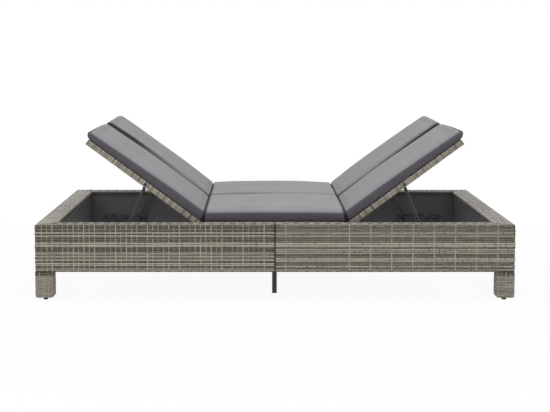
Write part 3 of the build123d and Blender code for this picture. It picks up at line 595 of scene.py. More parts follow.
def shade_sheet(span, low, reach_at, columns):
    """A function that adds a dark sheet behind a wall's strands, painted shade in the gaps between them:
    over span along its section, and from low to the mitre, or from mitre to mitre where low is None."""
    def add(bm, place):
        made = bmesh.ops.create_grid(bm, x_segments=columns, y_segments=64, size=0.5)["verts"]
        flat = np.array([v.co[:] for v in made]) + 0.5
        v = span[0] + flat[:, 1] * (span[1] - span[0])
        high = reach_at(v)
        start = -high if low is None else low
        u = start + flat[:, 0] * (high - start)
        for vert, co in zip(made, place(u, v, np.full(len(v), -SHADE_SHEET_DEPTH), v)):
            vert.co = co
        faces = list({f for vert in made for f in vert.link_faces})
        bmesh.ops.solidify(bm, geom=faces, thickness=SHADE_SHEET_THICK)
    return add


# Walls and legs

WALL_LINE = rounded_line(
    [(FOOT_RETURN, WALL_FOOT), (0, WALL_FOOT), (0, RIM), (RIM_WIDTH, RIM), (RIM_WIDTH, RIM - RIM_RETURN)],
    RIM_ROUND)


def wall_reach(half, d):
    """How far a wall's strand at offset d runs from the middle before it meets the mitre."""
    return half - np.maximum(CORNER, d) + np.maximum(CORNER - d, 0) * np.pi / 4


def wall_place(end, sx, sy):
    """A function that lays u, v and height onto the end wall or the front wall."""
    half = HALF_WIDTH if end else HALF_LENGTH
    fitted = 0.06

    def place(u, v, w, middle):
        """Points of a strand whose middle line is at v middle. Over its last stretch, both of its edges
        are fitted to the mitre."""
        d0, z0, nd, nz = on_line(WALL_LINE, v)
        reach, mid_reach = wall_reach(half, d0), wall_reach(half, on_line(WALL_LINE, middle)[0])
        run = np.abs(u)
        run = run + (reach - mid_reach) * np.clip((run - mid_reach) / fitted + 1, 0, 1)
        d, z = d0 + w * nd, z0 + w * nz
        straight = half - np.maximum(CORNER, d0)
        bend = np.maximum(run - straight, 0) / np.maximum(CORNER - d0, 0.000001)
        bend = np.minimum(bend, np.pi / 4)
        along = np.minimum(run, straight) + (CORNER - d) * np.sin(bend)
        inward = np.where(bend > 0, CORNER - (CORNER - d) * np.cos(bend), d)
        if end:
            return np.column_stack([-sx * (HALF_LENGTH - inward), np.sign(u) * along, z])
        return np.column_stack([-sx * along, -sy * (HALF_WIDTH - inward), z])
    return place


def wall_rows(table):
    """Every row round the wall's section: kind, middle and half width before the gap."""
    total = WALL_LINE[0][-1]
    quarter = RIM_ROUND * np.pi / 4
    outer_low = FOOT_RETURN - RIM_ROUND + quarter
    outer_high = total - (RIM_RETURN + RIM_WIDTH - 3 * RIM_ROUND + 3 * quarter)
    inner = total - (RIM_RETURN - RIM_ROUND + quarter)
    bounds = (0, outer_low, outer_high, inner, total)
    rows = []
    for low, high, kinds in zip(bounds, bounds[1:], (FOOT_ROWS, table, RIM_ROWS, INNER_ROWS)):
        widths = np.array([float(k[1:]) for k in kinds])
        widths *= (high - low) / widths.sum()
        starts = low + np.concatenate([[0], np.cumsum(widths)])
        rows += [(k[0], starts[i] + widths[i] / 2, widths[i] / 2) for i, k in enumerate(kinds)]
    return rows


def overs(kind, row, strong, rng, quiet):
    """Over or under at each stake for one row. Light and pale rows dip under the strong stakes."""
    chance = rng.random(len(strong))
    if kind in "DM":
        return np.where(chance < 0.24, 1.0, -1.0)
    if kind == "L":
        under = strong | (chance < 0.3) if quiet else strong & (chance < 0.7)
        return np.where(under, -1.0, 1.0)
    if kind == "P":
        return np.where(strong & (chance < 0.3), -1.0, 1.0)
    return plain_weave(len(strong), row)


def wall(name, settings, table, end, sx, sy, seed):
    """One woven wall: rows over upright stakes on a dark sheet of painted shade, quieter on the right half.
    """
    rng = np.random.default_rng(seed)
    half = HALF_WIDTH if end else HALF_LENGTH
    pitch, thick, lift = settings.stake, settings.thick, settings.lift
    low = -half if end else SEAM
    quiet = sx < 0
    stakes = np.arange(half - CORNER_STAKE, low + 0.004, -pitch)[::-1]
    number = np.arange(len(stakes))[::-1]
    dark = (number % 8 == 4) | (number == 0)
    strong = (number % 2 == 1) & (rng.random(len(stakes)) < 0.5)
    strong = (strong | np.isin(number, STRONG_STAKES)) & ~np.isin(number, WEAK_STAKES) & ~dark
    if quiet:
        strong &= number % 4 == 3

    def reach_at(v):
        """Where the strands meet the mitre, at length v of the section."""
        return wall_reach(half, on_line(WALL_LINE, v)[0])

    # Rows from the foot round to the inside. The last step before the mitre is never very short
    strands = []
    step, shortest, drift, dark_inset = pitch / 4, 0.3, 0.0003, 0.0003
    for row, (kind, v, wide) in enumerate(wall_rows(table)):
        reach = float(reach_at(v))
        count = math.ceil(reach / step - shortest)
        u = np.minimum(np.arange(count + 1) * step, reach)
        u = np.concatenate([-u[:0:-1], u]) if end else np.concatenate([[SEAM], u[u > SEAM + 0.002]])
        level = levels(u, stakes, overs(kind, row, strong, rng, quiet))
        w = -thick - lift * (1 - level)
        width = np.full(len(u), wide - settings.gap / 2)
        tone = TONES[kind]
        if kind == "D":
            w -= dark_inset
        if kind == "P":
            dots = rng.random(len(stakes)) < 0.3
            spot = np.interp(u, stakes, np.arange(len(stakes)))
            width *= pinched(spot, dots[np.minimum(spot.astype(int), len(dots) - 1)], 0.38, 0.16)
        if kind == "E":
            w -= lift * np.interp(u, stakes, rng.random(len(stakes)))
            worn = rng.random(len(stakes))[np.searchsorted(stakes, u) % len(stakes)]
            width *= 1 - 0.5 * worn ** 2
        tone += rng.normal(0, 0.1 if kind == "R" else 0.035)
        if quiet and kind in "DM":
            tone += 0.08
        if kind == "R" and not end:
            # Front and rear, the rim's rows are darker and dip deeper than at the ends
            tone -= 0.24 + 0.1 * (row % 2)
            w -= lift * (1 - level)
        strands.append(strand(u, v + wander(u, rng, drift), w, width, thick, tone))

    # Stakes, as far round the section as the mitre lets them
    lengths, line_place, _ = WALL_LINE
    margin, step, drift = 0.003, 0.0045, 0.0005
    for u, is_strong, is_dark in zip(stakes, strong, dark):
        free = lengths[wall_reach(half, line_place[:, 0]) > abs(u) + margin]
        free = free[free < lengths[-1] - RIM_RETURN]
        if len(free) == 0:
            continue
        v = np.linspace(free[0], free[-1], max(4, int((free[-1] - free[0]) / step)))
        wide = 0.0022 if is_strong else 0.0018
        tone = 0.3 if is_dark else 0.82 if is_strong else rng.uniform(0.5, 0.74) - 0.26 * quiet
        w = np.full(len(v), -thick - lift * 0.95)
        strands.append(strand(u + wander(v, rng, drift), v, w, wide, thick * 0.9, tone, "v"))
    if not end:
        # A nearly black strand lines the seam
        side, half_wide, short = 0.0012, 0.0011, 0.0002
        v = np.linspace(short, lengths[-1] - short, 90)
        strands.append(strand(SEAM + side, v, np.full(len(v), -thick), half_wide, thick, 0.02, "v"))
    span = (SHADE_SHEET_MARGIN, lengths[-1] - SHADE_SHEET_MARGIN)
    shell = shade_sheet(span, None, reach_at, 90) if end else shade_sheet(span, SEAM, reach_at, 72)
    return woven(name, strands, wall_place(end, sx, sy), shell)


def leg(name, settings, sx, sy, seed):
    """One leg's woven sleeve: closed rings over upright stakes, on a dark block of painted shade."""
    rng = np.random.default_rng(seed)
    line = rounded_line([(LEG_RETURN, LEG_FOOT), (0, LEG_FOOT), (0, WALL_FOOT)], LEG_ROUND)
    flat = LEG_WIDTH - 2 * CORNER
    arc = CORNER * np.pi / 2
    around = 4 * (flat + arc)
    centre = np.array([HALF_LENGTH - LEG_WIDTH / 2, HALF_WIDTH - LEG_WIDTH / 2])

    def place(u, v, w, middle):
        """Points of a ring: u runs round the leg, v up its section."""
        d0, z0, nd, nz = on_line(line, v)
        d, z = d0 + w * nd, z0 + w * nz
        side, rest = np.divmod(u % around, flat + arc)
        span = np.maximum(LEG_WIDTH / 2 - np.maximum(d, CORNER), 0.001)
        x = (np.minimum(rest, flat) / flat * 2 - 1) * span
        y = LEG_WIDTH / 2 - d
        bend = np.maximum(rest - flat, 0) / CORNER
        radius = np.maximum(CORNER - d, 0)
        x = np.where(bend > 0, span + radius * np.sin(bend), x)
        y = np.where(bend > 0, y - radius * (1 - np.cos(bend)), y)
        turn = -side * np.pi / 2
        px = x * np.cos(turn) - y * np.sin(turn)
        py = x * np.sin(turn) + y * np.cos(turn)
        return np.column_stack([-sx * (centre[0] + px), -sy * (centre[1] + py), z])

    thick, lift = settings.thick * 0.85, settings.lift * 0.7
    stakes = np.arange(LEG_STAKES + 2) * around / LEG_STAKES - around / LEG_STAKES / 2
    high = line[0][-1]
    rows = int((high - LEG_BAND) / settings.leg_row)
    kinds = ("R",) * rows + LEG_BAND_KINDS
    widths = np.array([settings.leg_row] * rows + [LEG_BAND_ROW] * len(LEG_BAND_KINDS))
    widths = widths * high / sum(widths)
    starts = np.cumsum(widths) - widths
    u = np.linspace(0, around, LEG_STAKES * 6 + 1)
    spot = u / around * LEG_STAKES
    cell = np.minimum(spot.astype(int), LEG_STAKES - 1)
    strands = []
    for row, kind in enumerate(kinds):
        over = plain_weave(LEG_STAKES, row)
        if kind == "D":
            over = np.where(rng.random(LEG_STAKES) < 0.3, 1.0, -1.0)
        over = np.concatenate([over[-1:], over, over[:1]])
        w = -thick - lift * (1 - levels(u, stakes, over))
        width = np.full(len(u), widths[row] / 2 - settings.gap / 8)
        if kind == "R":
            # Dark dots: one at every fourth stake, moved on by two after every second row
            width *= pinched(spot, cell % 4 == 2 * (row // 2 % 2), 0.8, 0.2)
        tone = TONES[kind] - (0.06 if kind == "D" else 0.2) + rng.normal(0, 0.05)
        strands.append(strand(u, starts[row] + widths[row] / 2, w, width, thick, tone))
    first, last, stake_half = 0.02, high - 0.0003, 0.0019
    v = np.linspace(first, last, 26)
    for at in stakes[1:-1]:
        w = np.full(len(v), -thick - lift)
        strands.append(strand(at, v, w, stake_half, thick * 0.9, 0.66 + rng.normal(0, 0.06), "v"))

    def core(bm, _):
        """Adds the dark block that closes the sleeve, painted shade behind its strands, rounded except at
        its top.
        """
        wide = LEG_WIDTH - 2 * LEG_CORE_INSET
        tall = WALL_FOOT - LEG_FOOT - LEG_CORE_INSET
        foot = LEG_FOOT + LEG_CORE_INSET
        size = (Matrix.Translation((-sx * centre[0], -sy * centre[1], foot + tall / 2))
                @ Matrix.Diagonal((wide, wide, tall, 1)))
        made = bmesh.ops.create_cube(bm, size=1.0, matrix=size)["verts"]
        edges = {e for v in made for e in v.link_edges}
        edges = [e for e in edges if min(v.co.z for v in e.verts) < foot + tall * 0.9]
        bmesh.ops.bevel(bm, geom=edges, offset=0.008, offset_type="OFFSET", segments=3, profile=0.5,
                        affect="EDGES", material=-1)

    return woven(name, strands, place, core)


# Backrest and seat panels


def panel(name, settings, start, end, matrix, lugs, seed):
    """A woven panel that wraps its edge tubes, made flat from x 0 to -X and moved by matrix."""
    rng = np.random.default_rng(seed)
    half, deep, wrap = PANEL_HALF_WIDTH, PANEL / 2, PANEL
    length = end - start
    side_line = rounded_line(
        [(-half + wrap, -deep), (-half, -deep), (-half, deep), (half, deep), (half, -deep),
         (half - wrap, -deep)], PANEL_ROUND)
    end_line = rounded_line(
        [(-wrap, -deep), (0, -deep), (0, deep), (-length, deep), (-length, -deep),
         (-length + wrap, -deep)][::-1], PANEL_ROUND)
    thick, lift, pitch = PANEL_THICK, PANEL_LIFT, settings.stake
    row_gap, stake_half, end_half = 0.0004, 0.0024, 0.0033
    margin, stake_margin, drift, fold_samples = 0.002, 0.006, 0.0003, 14
    slots = [share * half for share in LUG_SHARES] if lugs else []
    lug_clear, lug_half, lug_under = 0.0075, 0.0055, 0.006

    def place(u, v, w, middle):
        """u below 5 runs along the end line at Y v, else u - 10 runs along the side line at X v."""
        ends = u < 5
        x0, z0, nx, nz = on_line(end_line, np.where(ends, u, 0))
        y1, z1, ny, nz1 = on_line(side_line, np.where(ends, 0, u - 10))
        spot = np.where(
            ends, np.array([x0 + w * nx, v, z0 + w * nz]),
            np.array([v, y1 + w * ny, z1 + w * nz1]))
        return moved(spot.T, matrix)

    corner = PANEL_ROUND * np.pi / 2
    edge = wrap + PANEL - 2 * PANEL_ROUND + corner

    def samples(total, between):
        """Points along a line: close together where it goes round the panel's edges."""
        return np.concatenate([
            np.linspace(0, edge, fold_samples, endpoint=False), between,
            np.linspace(total - edge, total, fold_samples + 1)])

    # Rows across the panel, which go down both sides and under
    total = side_line[0][-1]
    rows = int(length / settings.panel_row)
    spacing = length / rows
    most = math.floor((half - stake_margin) / pitch)
    columns = np.arange(-most, most + 1) * pitch
    columns = np.array([y for y in columns if all(abs(y - s) >= lug_clear for s in slots)])
    on_top = slice(300, -300)
    stakes_at = np.interp(columns, side_line[1][on_top, 0], side_line[0][on_top])
    u = samples(total, np.arange(edge, total - edge, pitch / 4))
    strands = []
    for row in range(rows):
        level = levels(u, stakes_at, plain_weave(len(columns), row))
        level = np.where((u < edge) | (u > total - edge), 1.0, level)
        w = -thick - lift * (1 - level)
        at = -(row + 0.5) * spacing
        tone = 0.66 + rng.normal(0, 0.07) - (0.2 if row % 4 == 1 else 0)
        strands.append(strand(u + 10, at + wander(u, rng, drift), w, spacing / 2 - row_gap, thick, tone))

    # Stakes along it, which go down both ends and under
    around = end_line[0][-1]
    s = samples(around, np.linspace(edge, around - edge, int(length / 0.012))[:-1])
    for y in columns:
        w = np.full(len(s), -thick - lift * 0.8)
        at = y + wander(s, rng, 0.0004)
        strands.append(strand(s, at, w, stake_half, thick * 0.8, 0.74 + rng.normal(0, 0.05)))

    # Rows that close both ends, cut at the lugs where they cross the hinge's side
    cuts = [-half + margin] + [e for s in slots for e in (s - lug_half, s + lug_half)] + [half - margin]
    under = np.arange(2 * margin, wrap, PANEL_END_ROW)
    upright = np.arange(wrap + margin, edge - corner, PANEL_END_ROW)
    for at in np.concatenate([under, upright]):
        for spot in (at, around - at):
            is_cut = lugs and spot > around / 2 and at > wrap - lug_under
            pairs = zip(cuts[::2], cuts[1::2]) if is_cut else [(cuts[0], cuts[-1])]
            for low, high in pairs:
                y = np.linspace(low, high, max(8, int((high - low) / (pitch / 3))))
                over = plain_weave(len(columns), int(at / PANEL_END_ROW))
                w = -thick - lift * (1 - levels(y, columns, over))
                strands.append(strand(spot, y, w, end_half, thick, 0.62 + rng.normal(0, 0.07), "v"))
    return woven(name, strands, place)


# Cushions

# Sets of soft creases: how many, their size, where they lie along X and Y, and their rough angle
MIDDLE_CREASES = {"count": 4, "length": 0.09, "wide": 0.011, "deep": 0.0013, "xs": (-0.25, 0.25),
                  "ys": (-0.45, -0.06), "angle": 0.3}
HINGE_CREASES = {"count": 4, "length": 0.10, "wide": 0.010, "deep": 0.0016, "xs": (-0.20, -0.05),
                 "ys": (-0.42, -0.08), "angle": 0.6}
TIP_CREASES = {"count": 3, "length": 0.05, "wide": 0.008, "deep": 0.0012, "xs": (-0.56, -0.46),
               "ys": (-0.45, -0.05), "angle": 0.2}

# How each back cushion differs, by side and depth, as cushion's docstring says
BACK_SHAPES = {
    "left_front": {"sunk": (0.012, 0.002), "groove": 4.0, "bulge": 0.013, "droop": (0.08, 0.30)},
    "left_rear": {"sunk": (0.001, 0.001), "groove": 4.0, "bulge": 0.004, "droop": (0.03, 0.0), "rise": 1.1},
    "right_front": {"sunk": (0.009, 0.007), "groove": 1.7, "bulge": 0.020, "droop": (0.14, 0.18)},
    "right_rear": {"sunk": (0.005, 0.003), "groove": 1.7, "bulge": 0.004, "droop": (0.05, 0.0), "rise": 1.1},
}


def applied(piece):
    """Replaces a piece's mesh by what its modifiers make of it."""
    graph = bpy.context.evaluated_depsgraph_get()
    mesh = bpy.data.meshes.new_from_object(piece.evaluated_get(graph))
    piece.modifiers.clear()
    old, piece.data = piece.data, mesh
    bpy.data.meshes.remove(old)


def pad_form(settings, foam, cover, to_flat):
    """A filled form grown from the foam: remeshed, blown up as cloth and held to the cover's box."""
    frames, swell_from, swell_over = 20, 0.7, 0.25
    goal = moved(vectors(frame["nodes"][cover].data), to_flat)
    goal_low, goal_high = goal.min(0), goal.max(0)
    bm = bmesh.new()
    bm.from_mesh(frame["nodes"][foam].data)
    bmesh.ops.remove_doubles(bm, verts=bm.verts, dist=0.00001)
    bm.transform(to_flat)
    mesh = bpy.data.meshes.new("pad_form")
    bm.to_mesh(mesh)
    bm.free()
    piece = linked("pad_form", mesh)
    remesh = piece.modifiers.new("remesh", "REMESH")
    remesh.mode, remesh.voxel_size = "VOXEL", settings.voxel
    applied(piece)
    before = vectors(piece.data)
    grown = before
    cloth = piece.modifiers.new("cloth", "CLOTH")
    cloth.settings.use_pressure = True
    cloth.settings.uniform_pressure_force = settings.pressure
    cloth.settings.effector_weights.gravity = 0
    scene = bpy.context.scene
    for number in range(1, frames + 1):
        scene.frame_set(number)
    graph = bpy.context.evaluated_depsgraph_get()
    grown = vectors(piece.evaluated_get(graph).data)
    piece.modifiers.clear()
    scene.frame_set(1)
    # Only the top rises, and by no more than the cap
    share = np.clip((before[:, 2] / before[:, 2].max() - swell_from) / swell_over, 0, 1)
    place = before.copy()
    place[:, 2] += np.clip(grown[:, 2] - before[:, 2], 0, share * settings.swell)
    put_places(piece.data, place)
    smooth = piece.modifiers.new("smooth", "SMOOTH")
    smooth.iterations, smooth.factor = 3, 0.5
    applied(piece)
    place = vectors(piece.data)
    low, high = place.min(0), place.max(0)
    put_places(piece.data, goal_low + (place - low) / (high - low) * (goal_high - goal_low))
    finer = piece.modifiers.new("finer", "SUBSURF")
    finer.levels = finer.render_levels = 1
    applied(piece)
    made = piece.data
    bpy.data.objects.remove(piece)
    return made


def fade(distance, reach):
    """1 at no distance, down to 0 at reach."""
    return np.clip(1 - distance / reach, 0, 1)


def ripple(place, rng, count, length, wide, deep, xs, ys, angle):
    """Soft creases: short gently curved lines that sink into the top."""
    drop = np.zeros(len(place))
    for _ in range(count):
        spot = np.array([rng.uniform(*xs), rng.uniform(*ys)])
        turn = rng.normal(0, 0.35) + angle
        way = np.array([math.cos(turn), math.sin(turn)])
        off = place[:, :2] - spot
        run = off @ way
        side = off @ np.array([-way[1], way[0]]) + rng.normal(0, 1.2) * run ** 2
        size = length * rng.uniform(0.6, 1.3)
        drop += deep * rng.uniform(0.5, 1) * np.exp(-(side / wide) ** 2) * np.exp(-(run / size) ** 2)
    return drop


def cushion(name, settings, form, matrix, seed, creases, seam, sunk=(0.003, 0.003), groove=1.6, bulge=0.0,
            droop=(0.0, 0.0), rise=1.0, painted_shading=0.0):
    """One cushion: the filled form with its seam, puckers and soft creases, moved to its place.

    Its inner long edge is sunk by the given depths at low X and at high X, and takes painted shade with its
    slope by groove. Its end at low X bulges, and is lower by the shares in droop: all of it, and its outer
    corner. All of it is taller by rise, and its colour darker all over by painted shade, by the amount of
    its last argument.
    """
    inner_reach, inner_dark, end_reach, tip_reach = 0.09, 0.03, 0.07, 0.5
    seam_depth, seam_half, seam_reach = 0.0016, 0.0045, 0.03
    pucker_depth, pucker_rise, pucker_reach = 0.00042, 0.014, 0.06
    uneven = 0.0007
    rng = np.random.default_rng(settings.seed * 100 + seed)
    mesh = form.copy()
    mesh.name = name
    place, normal = vectors(mesh), vectors(mesh, "normal")
    low, high = place.min(0), place.max(0)
    inner = fade(high[1] - place[:, 1], inner_reach)
    to_low = np.clip((high[0] - place[:, 0]) / (high[0] - low[0]) * 2.2 - 0.6, 0, 1)
    depth = sunk[1] + (sunk[0] - sunk[1]) * to_low
    above = place[:, 2] - seam
    to_side = np.minimum(place[:, 1] - low[1], high[1] - place[:, 1])
    to_end = np.minimum(place[:, 0] - low[0], high[0] - place[:, 0])
    edge = np.minimum(to_side, to_end)
    along = np.where(edge == to_side, place[:, 0], place[:, 1])
    top = np.clip(above / 0.012, 0, 1)

    # Painted shade: darker down the inner edge's groove, on the ends that meet, and a little all over
    slope = normal[:, 1] + 2 * depth * inner / inner_reach
    painted_shade = np.clip(slope * groove - 0.3, 0, 1) * (0.25 + 0.75 * to_low) * (high[1] - place[:, 1] < inner_dark)
    meeting = normal[:, 0] if bulge else np.abs(normal[:, 0])
    painted_shade = np.maximum(np.maximum(painted_shade, np.clip(meeting * 3 - 0.5, 0, 1)), painted_shading)

    # How far each point sinks: the seam, its puckers, the creases and a slight unevenness
    drop = seam_depth * np.exp(-(above / seam_half) ** 2) * fade(edge, seam_reach)
    for k in (61.0, 97.0, 149.0):
        wave = np.sin(along * k + rng.uniform(0, 6.3))
        wave *= 0.6 + 0.4 * np.sin(along * 11 + rng.uniform(0, 6.3))
        drop += pucker_depth * wave * np.exp(-np.abs(above) / pucker_rise) * fade(edge, pucker_reach)
    for crease in creases:
        drop += ripple(place, rng, **crease) * top
    soft = np.zeros(len(place))
    for kx, ky in ((9, 5), (5, 13), (17, 8)):
        soft += np.sin(place[:, 0] * kx + rng.uniform(0, 6)) * np.sin(place[:, 1] * ky + rng.uniform(0, 6))
    drop += uneven * soft * top
    place = place - normal * drop[:, None]

    # The whole form: the sunk inner edge, the drooping end and its bulge
    place[:, 2] -= depth * inner ** 2 * np.clip(above / 0.010, 0, 1)
    round_side = np.sin(np.pi * np.clip((place[:, 2] - 0.002) / high[2], 0, 1)) ** 0.3
    outer = np.clip((high[1] - place[:, 1]) / (high[1] - low[1]), 0, 1)
    lower = fade(place[:, 0] - low[0], tip_reach) ** 1.5
    place[:, 2] *= rise * (1 - lower * (droop[0] + droop[1] * outer ** 2))
    place[:, 0] -= bulge * fade(place[:, 0] - low[0], end_reach) ** 2 * round_side * outer ** 0.5
    for key, values in (("flat", place), ("along", along), ("above", above), ("painted_shade", painted_shade)):
        put_attribute(mesh, key, values)
    put_places(mesh, moved(place, matrix))
    bm = bmesh.new()
    bm.from_mesh(mesh)
    return finished(name, mesh, bm)


# Operators


class LOUNGER_OT_walls(bpy.types.Operator):
    """Weaves the six walls and the four legs"""

    bl_idname = "lounger.walls"
    bl_label = "Woven walls and legs"

    def execute(self, context):
        settings = context.scene.lounger_weave
        cane = rattan_finish(settings)
        for i, (side, sx, table) in enumerate((("left", 1, LEFT_ROWS), ("right", -1, RIGHT_ROWS))):
            piece = wall(f"{side}_end_wall", settings, table, True, sx, 1, 11 + i)
            dress(piece, cane, "base", "rattan", f"{side}_end_weave")
            for j, (depth, sy) in enumerate((("front", 1), ("rear", -1))):
                seed = 20 + 2 * i + j
                piece = wall(f"{side}_{depth}_wall", settings, table, False, sx, sy, seed)
                dress(piece, cane, "base", "rattan", f"{side}_{depth}_weave")
                piece = leg(f"{side}_{depth}_leg", settings, sx, sy, seed + 10)
                dress(piece, cane, "base", "rattan", f"{side}_{depth}_leg_weave")
        return {"FINISHED"}


class LOUNGER_OT_panels(bpy.types.Operator):
    """Weaves the two backrests and the two seat decks"""

    bl_idname = "lounger.panels"
    bl_label = "Woven panels"

    def execute(self, context):
        settings = context.scene.lounger_weave
        cane = bpy.data.materials["woven_cane"]
        for i, (side, sx) in enumerate((("left", 1), ("right", -1))):
            flip = Matrix.Diagonal((sx, 1, 1, 1))
            place = flip @ Matrix.Translation((0, 0, PANEL_TOP - PANEL / 2))
            piece = panel(f"{side}_seat_deck", settings, 0, SEAT_LENGTH, place, False, 40 + i)
            dress(piece, cane, "base", "rattan", f"{side}_seat_weave")
            place = (flip @ Matrix.Translation(HINGE_PLACE) @ Matrix.Rotation(BACK_ANGLE, 4, "Y")
                     @ Matrix.Translation((-BACK_START, 0, 0)))
            piece = panel(f"{side}_back_panel", settings, BACK_START, BACK_END, place, True, 50 + i)
            dress(piece, cane, f"{side}_backrest", "rattan", f"{side}_back_weave")
        return {"FINISHED"}


class LOUNGER_OT_cushions(bpy.types.Operator):
    """Makes the six cushions"""

    bl_idname = "lounger.cushions"
    bl_label = "Cushions"

    def execute(self, context):
        settings = context.scene.lounger_cushions
        canvas = fabric_finish(settings)
        back = (Matrix.Translation(HINGE_PLACE) @ Matrix.Rotation(BACK_ANGLE, 4, "Y")
                @ Matrix.Translation((0, 0, PANEL / 2)))
        seat = Matrix.Translation((0, 0, PANEL_TOP))
        back_form = pad_form(settings, "left_back_foam_front", "left_back_cover_front", back.inverted())
        seat_form = pad_form(settings, "seat_foam_front", "seat_cover_front", seat.inverted())
        for j, (depth, sy) in enumerate((("front", 1), ("rear", -1))):
            flip = Matrix.Diagonal((1, sy, 1, 1))
            piece = cushion(f"seat_cushion_{depth}", settings, seat_form, flip @ seat, 10 + j,
                            [MIDDLE_CREASES], settings.seam)
            dress(piece, canvas, "base", "cushion_fabric", f"seat_cover_{depth}", f"seat_foam_{depth}")
            for i, (side, sx) in enumerate((("left", 1), ("right", -1))):
                flip = Matrix.Diagonal((sx, sy, 1, 1))
                piece = cushion(f"{side}_back_cushion_{depth}", settings, back_form, flip @ back, 2 * j + i,
                                [HINGE_CREASES, TIP_CREASES], settings.back_seam, painted_shading=0.08,
                                **BACK_SHAPES[f"{side}_{depth}"])
                nodes = (f"{side}_back_cover_{depth}", f"{side}_back_foam_{depth}")
                dress(piece, canvas, f"{side}_backrest", "cushion_fabric", *nodes)
        for form in (back_form, seat_form):
            bpy.data.meshes.remove(form)
        return {"FINISHED"}


class LOUNGER_OT_finishes(bpy.types.Operator):
    """Gives the steel, liners, bolts and plastic parts their finishes"""

    bl_idname = "lounger.finishes"
    bl_label = "Hard finishes"

    def execute(self, context):
        colours = context.scene.lounger_finishes
        finishes = {
            "frame_steel": coated_finish("powder_coat", colours.steel, 0.46, 1300.0),
            "liner": coated_finish("liner_sheet", colours.liner, 0.55, 500.0),
            "black_plastic": coated_finish("moulded_plastic", colours.plastic, 0.5, 2600.0, 0.00012),
            "hardware": zinc_finish(colours.zinc),
        }
        black_zinc = coated_finish("black_zinc", [c * 0.7 for c in colours.steel], 0.35, 2000.0)
        for part in frame["record"]["subparts"]:
            finish = finishes.get(part["material_slot"])
            if part["node"].endswith(("ratchet_screws", "prop_bolts")):
                finish = black_zinc
            node = frame["nodes"][part["node"]]
            if finish and not node.hide_render:
                for slot in node.material_slots:
                    slot.material = finish
        return {"FINISHED"}


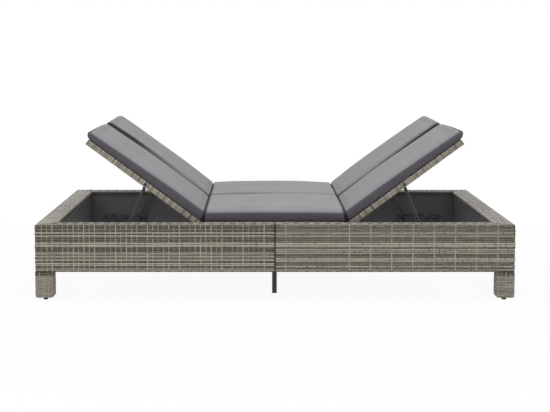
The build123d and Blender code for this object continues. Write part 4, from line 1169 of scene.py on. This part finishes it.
class LOUNGER_OT_stage(bpy.types.Operator):
    """Sets the floor, the light and the camera"""

    bl_idname = "lounger.stage"
    bl_label = "Stage"

    def execute(self, context):
        settings = context.scene.lounger_stage
        scene = context.scene
        mesh = bpy.data.meshes.new("floor")
        bm = bmesh.new()
        bmesh.ops.create_grid(bm, x_segments=4, y_segments=4, size=14.0)
        bm.to_mesh(mesh)
        bm.free()
        floor = bpy.data.objects.new("floor", mesh)
        scene.collection.objects.link(floor)
        n = Nodes("pale_floor")
        n.set(Base_Color=(0.86, 0.86, 0.86, 1), Roughness=0.9)
        # Seen directly it is nearly white, and white further out, with the object's shadow left in
        seen = self.seen(n.tree)
        glow = n.add("ShaderNodeEmission", {"Color": (1, 1, 1, 1), "Strength": 1.0}).outputs[0]
        place = n.add("ShaderNodeTexCoord").outputs["Object"]
        away = n.add("ShaderNodeVectorMath", {0: place}, operation="LENGTH").outputs["Value"]
        share = n.maths("MULTIPLY", seen, n.spread(away, 1.0, 2.4, 0.94, 1.0))
        both = n.add("ShaderNodeMixShader", {0: share, 1: n.shader.outputs[0], 2: glow}).outputs[0]
        n.put(both, n.tree.nodes["Material Output"].inputs["Surface"])
        mesh.materials.append(n.material)
        world = bpy.data.worlds.new("studio")
        scene.world = world
        world.use_nodes = True
        tree = world.node_tree
        ground = tree.nodes["Background"]
        ground.inputs["Color"].default_value = (1, 1, 1, 1)
        strength = tree.nodes.new("ShaderNodeMapRange")
        strength.inputs["To Min"].default_value = settings.world
        strength.inputs["To Max"].default_value = 1.0
        tree.links.new(self.seen(tree), strength.inputs["Value"])
        tree.links.new(strength.outputs[0], ground.inputs["Strength"])
        self.softbox("key", settings.key, place=(0.3, -0.9, 4.2), size=(5.0, 4.0))
        self.softbox("fill", settings.fill, place=(-2.6, -5.0, 2.4), size=(3.0, 2.0))
        camera = bpy.data.objects.new("camera", bpy.data.cameras.new("camera"))
        scene.collection.objects.link(camera)
        camera.data.sensor_width = 36.0
        camera.data.lens = settings.lens
        camera.location = (-settings.aside, -settings.distance, settings.height)
        camera.rotation_euler = (math.pi / 2 - settings.tilt, 0, 0)
        camera.data.shift_x = settings.across
        camera.data.shift_y = -settings.shift
        scene.camera = camera
        scene.view_settings.view_transform = "Standard"
        return {"FINISHED"}

    @staticmethod
    def seen(tree):
        """1 for rays that show the background itself, else 0."""
        path = tree.nodes.new("ShaderNodeLightPath")
        total = path.outputs["Is Camera Ray"]
        for name in ("Is Glossy Ray", "Is Transmission Ray"):
            most = tree.nodes.new("ShaderNodeMath")
            most.operation = "MAXIMUM"
            tree.links.new(total, most.inputs[0])
            tree.links.new(path.outputs[name], most.inputs[1])
            total = most.outputs[0]
        return total

    @staticmethod
    def softbox(name, power, place, size, target=(0, 0, 0.2)):
        """A wide soft lamp that faces the object."""
        light = bpy.data.lights.new(name, "AREA")
        light.energy, light.shape = power, "RECTANGLE"
        light.size, light.size_y = size
        lamp = bpy.data.objects.new(name, light)
        lamp.location = place
        lamp.rotation_euler = (Vector(target) - Vector(place)).to_track_quat("-Z", "Y").to_euler()
        bpy.context.scene.collection.objects.link(lamp)


OPERATORS = (LOUNGER_OT_stage, LOUNGER_OT_walls, LOUNGER_OT_panels, LOUNGER_OT_cushions, LOUNGER_OT_finishes)
GROUPS = {
    "lounger_weave": LoungerWeave,
    "lounger_cushions": LoungerCushions,
    "lounger_finishes": LoungerFinishes,
    "lounger_stage": LoungerStage,
}


class LOUNGER_PT_sidebar(bpy.types.Panel):
    """Lists the lounger's operators and settings"""

    bl_idname = "LOUNGER_PT_sidebar"
    bl_label = "Double chaise lounger"
    bl_space_type = "VIEW_3D"
    bl_region_type = "UI"
    bl_category = "Lounger"

    def draw(self, context):
        for operator in OPERATORS:
            self.layout.operator(operator.bl_idname)
        for group, kind in GROUPS.items():
            box = self.layout.box()
            for name in kind.__annotations__:
                box.prop(getattr(context.scene, group), name)


def register():
    """Registers the classes and puts their settings on the scene."""
    for kind in (*GROUPS.values(), *OPERATORS, LOUNGER_PT_sidebar):
        bpy.utils.register_class(kind)
    for group, kind in GROUPS.items():
        setattr(bpy.types.Scene, group, PointerProperty(type=kind))


def unregister():
    """Takes the settings and classes away again."""
    for group in GROUPS:
        delattr(bpy.types.Scene, group)
    for kind in (LOUNGER_PT_sidebar, *OPERATORS[::-1], *list(GROUPS.values())[::-1]):
        bpy.utils.unregister_class(kind)


def main():
    """Makes the object."""
    register()
    for operator in OPERATORS:
        group, name = operator.bl_idname.split(".")
        getattr(getattr(bpy.ops, group), name)()


if __name__ == "__main__":
    main()
